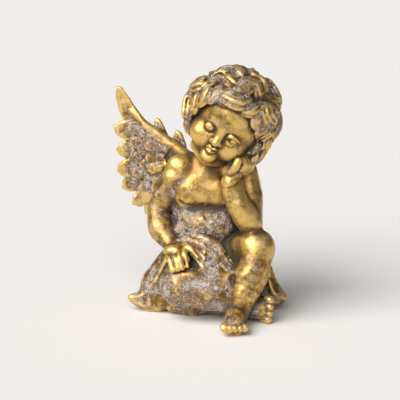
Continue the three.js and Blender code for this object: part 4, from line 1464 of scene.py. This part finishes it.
@dataclass(frozen=True)
class AntiqueGold:
    """Gold paint on resin, glazed brown, rubbed with pale wash, stained dark in hollows, with painted shade.
    """

    bright: Colour = (0.74, 0.49, 0.15, 1)
    deep: Colour = (0.22, 0.118, 0.03, 1)
    # Dark brown of the glazing, also used as painted shade.
    glaze: Colour = (0.105, 0.054, 0.02, 1)
    pale: Colour = (0.53, 0.465, 0.42, 1)
    # Near black of the staining, also used as painted shade in enclosed places.
    stain: Colour = (0.036, 0.022, 0.012, 1)
    glaze_and_shade_share: float = 0.8
    stain_and_shade_share: float = 0.9
    metallic: float = 0.74
    polish: float = 0.36
    chalk: float = 0.66
    bump: float = 0.5
    bump_height: float = 0.001

    def material(self) -> bpy.types.Material:
        """Makes the finish.

        Returns:
            The material.
        """
        material = bpy.data.materials.new("antique_gold")
        material.use_nodes = True
        shader = Shader(material.node_tree)
        surface = material.node_tree.nodes["Principled BSDF"]
        mottle = shader.node("ShaderNodeGroup", node_tree=mottle_group())
        patina_and_shade = shader.node("ShaderNodeGroup", node_tree=patina_and_shade_group())
        for mask in Mask:
            stored = shader.node("ShaderNodeAttribute", attribute_name=mask.value)
            shader.feed(patina_and_shade.inputs[mask.name], stored.outputs["Fac"])
        for grain in Grain:
            shader.feed(patina_and_shade.inputs[grain.name], mottle.outputs[grain.name])
        give = {share: patina_and_shade.outputs[share.value] for share in Share}
        pale = give[Share.PALE]
        # The near-black layer is real staining in crevices and painted shade in enclosed places.
        stain = shader.math("MULTIPLY", give[Share.STAIN], self.stain_and_shade_share)
        # The brown layer is real glazing in dips and painted shade in enclosed places.
        glaze = shader.math("MULTIPLY", give[Share.GLAZE], self.glaze_and_shade_share)
        gold = shader.mix(glaze, shader.mix(give[Share.BRIGHT], self.deep, self.bright), self.glaze)
        colour = shader.mix(stain, shader.mix(pale, gold, self.pale), self.stain)
        dull = shader.math("MAXIMUM", pale, stain)
        bump = shader.node("ShaderNodeBump")
        shader.feed(bump.inputs["Strength"], self.bump)
        shader.feed(bump.inputs["Distance"], self.bump_height)
        shader.feed(bump.inputs["Height"], give[Share.HEIGHT])
        shader.feed(surface.inputs["Base Color"], colour)
        shader.feed(surface.inputs["Metallic"], shader.blend(dull, self.metallic, 0.0))
        shader.feed(surface.inputs["Roughness"], shader.blend(dull, self.polish, self.chalk))
        shader.feed(surface.inputs["Normal"], bump.outputs["Normal"])
        return material


@dataclass(frozen=True)
class Lamp:
    """A far, soft light that comes from an azimuth and elevation, in degrees."""

    name: str
    azimuth: float
    elevation: float
    strength: float
    spread: float

    def build(self) -> None:
        """Hangs the lamp."""
        light = bpy.data.lights.new(self.name, "SUN")
        light.energy = self.strength
        light.angle = math.radians(self.spread)
        lamp = bpy.data.objects.new(self.name, light)
        lamp.rotation_euler = toward(self.azimuth, self.elevation).to_track_quat("Z", "Y").to_euler()
        bpy.context.scene.collection.objects.link(lamp)


def toward(azimuth: float, elevation: float) -> Vector:
    """The direction from the object to a viewer, azimuth 0 being in front and 90 at its left hand."""
    a, e = math.radians(azimuth), math.radians(elevation)
    return Vector((math.sin(a) * math.cos(e), -math.cos(a) * math.cos(e), math.sin(e)))


@dataclass
class Studio:
    """A plain pale floor, soft lights and the photographer's camera."""

    floor_half: float = 6.0
    floor_colour: Colour = (0.785, 0.756, 0.735, 1)
    floor_roughness: float = 0.9
    air: Colour = (1.0, 0.99, 0.98, 1)
    air_strength: float = 0.14
    lamps: list[Lamp] = field(default_factory=lambda: [
        Lamp("key", -52, 44, 3.2, 50),
        Lamp("front", -10, 36, 1.5, 60),
    ])
    aim: Point = (0, 0, 0.1155)
    elevation: float = 14.0
    distance: float = 1.5
    frame_width: float = 0.4

    def build(self) -> None:
        """Sets the studio up."""
        self.build_floor()
        for lamp in self.lamps:
            lamp.build()
        world = bpy.data.worlds.new("studio_air")
        world.use_nodes = True
        sky = world.node_tree.nodes["Background"]
        sky.inputs["Color"].default_value = self.air
        sky.inputs["Strength"].default_value = self.air_strength
        bpy.context.scene.world = world
        bpy.context.scene.view_settings.view_transform = "Standard"
        self.build_camera()

    def build_floor(self) -> None:
        """Lays the floor."""
        h = self.floor_half
        mesh = bpy.data.meshes.new("studio_floor")
        mesh.from_pydata([(-h, -h, 0), (h, -h, 0), (h, h, 0), (-h, h, 0)], [], [(0, 1, 2, 3)])
        paint = bpy.data.materials.new("studio_floor")
        paint.use_nodes = True
        surface = paint.node_tree.nodes["Principled BSDF"]
        surface.inputs["Base Color"].default_value = self.floor_colour
        surface.inputs["Roughness"].default_value = self.floor_roughness
        surface.inputs["Specular IOR Level"].default_value = 0.0
        mesh.materials.append(paint)
        floor = bpy.data.objects.new("studio_floor", mesh)
        bpy.context.scene.collection.objects.link(floor)

    def build_camera(self) -> None:
        """Sets the camera as far off and as high as the photographer's."""
        lens = bpy.data.cameras.new("photo_camera")
        lens.lens = lens.sensor_width * self.distance / self.frame_width
        camera = bpy.data.objects.new("photo_camera", lens)
        away = toward(0, self.elevation)
        camera.location = Vector(self.aim) + away * self.distance
        camera.rotation_euler = away.to_track_quat("Z", "Y").to_euler()
        bpy.context.scene.collection.objects.link(camera)
        bpy.context.scene.camera = camera


def main() -> None:
    """Builds the casting, dresses it, and sets the studio, light and camera."""
    logging.basicConfig(level=logging.INFO, format="%(message)s")
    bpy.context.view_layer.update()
    piece = Casting().build()
    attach(piece, "root")
    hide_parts("cherub")
    piece.data.materials.append(AntiqueGold().material())
    Studio().build()


if __name__ == "__main__":
    main()
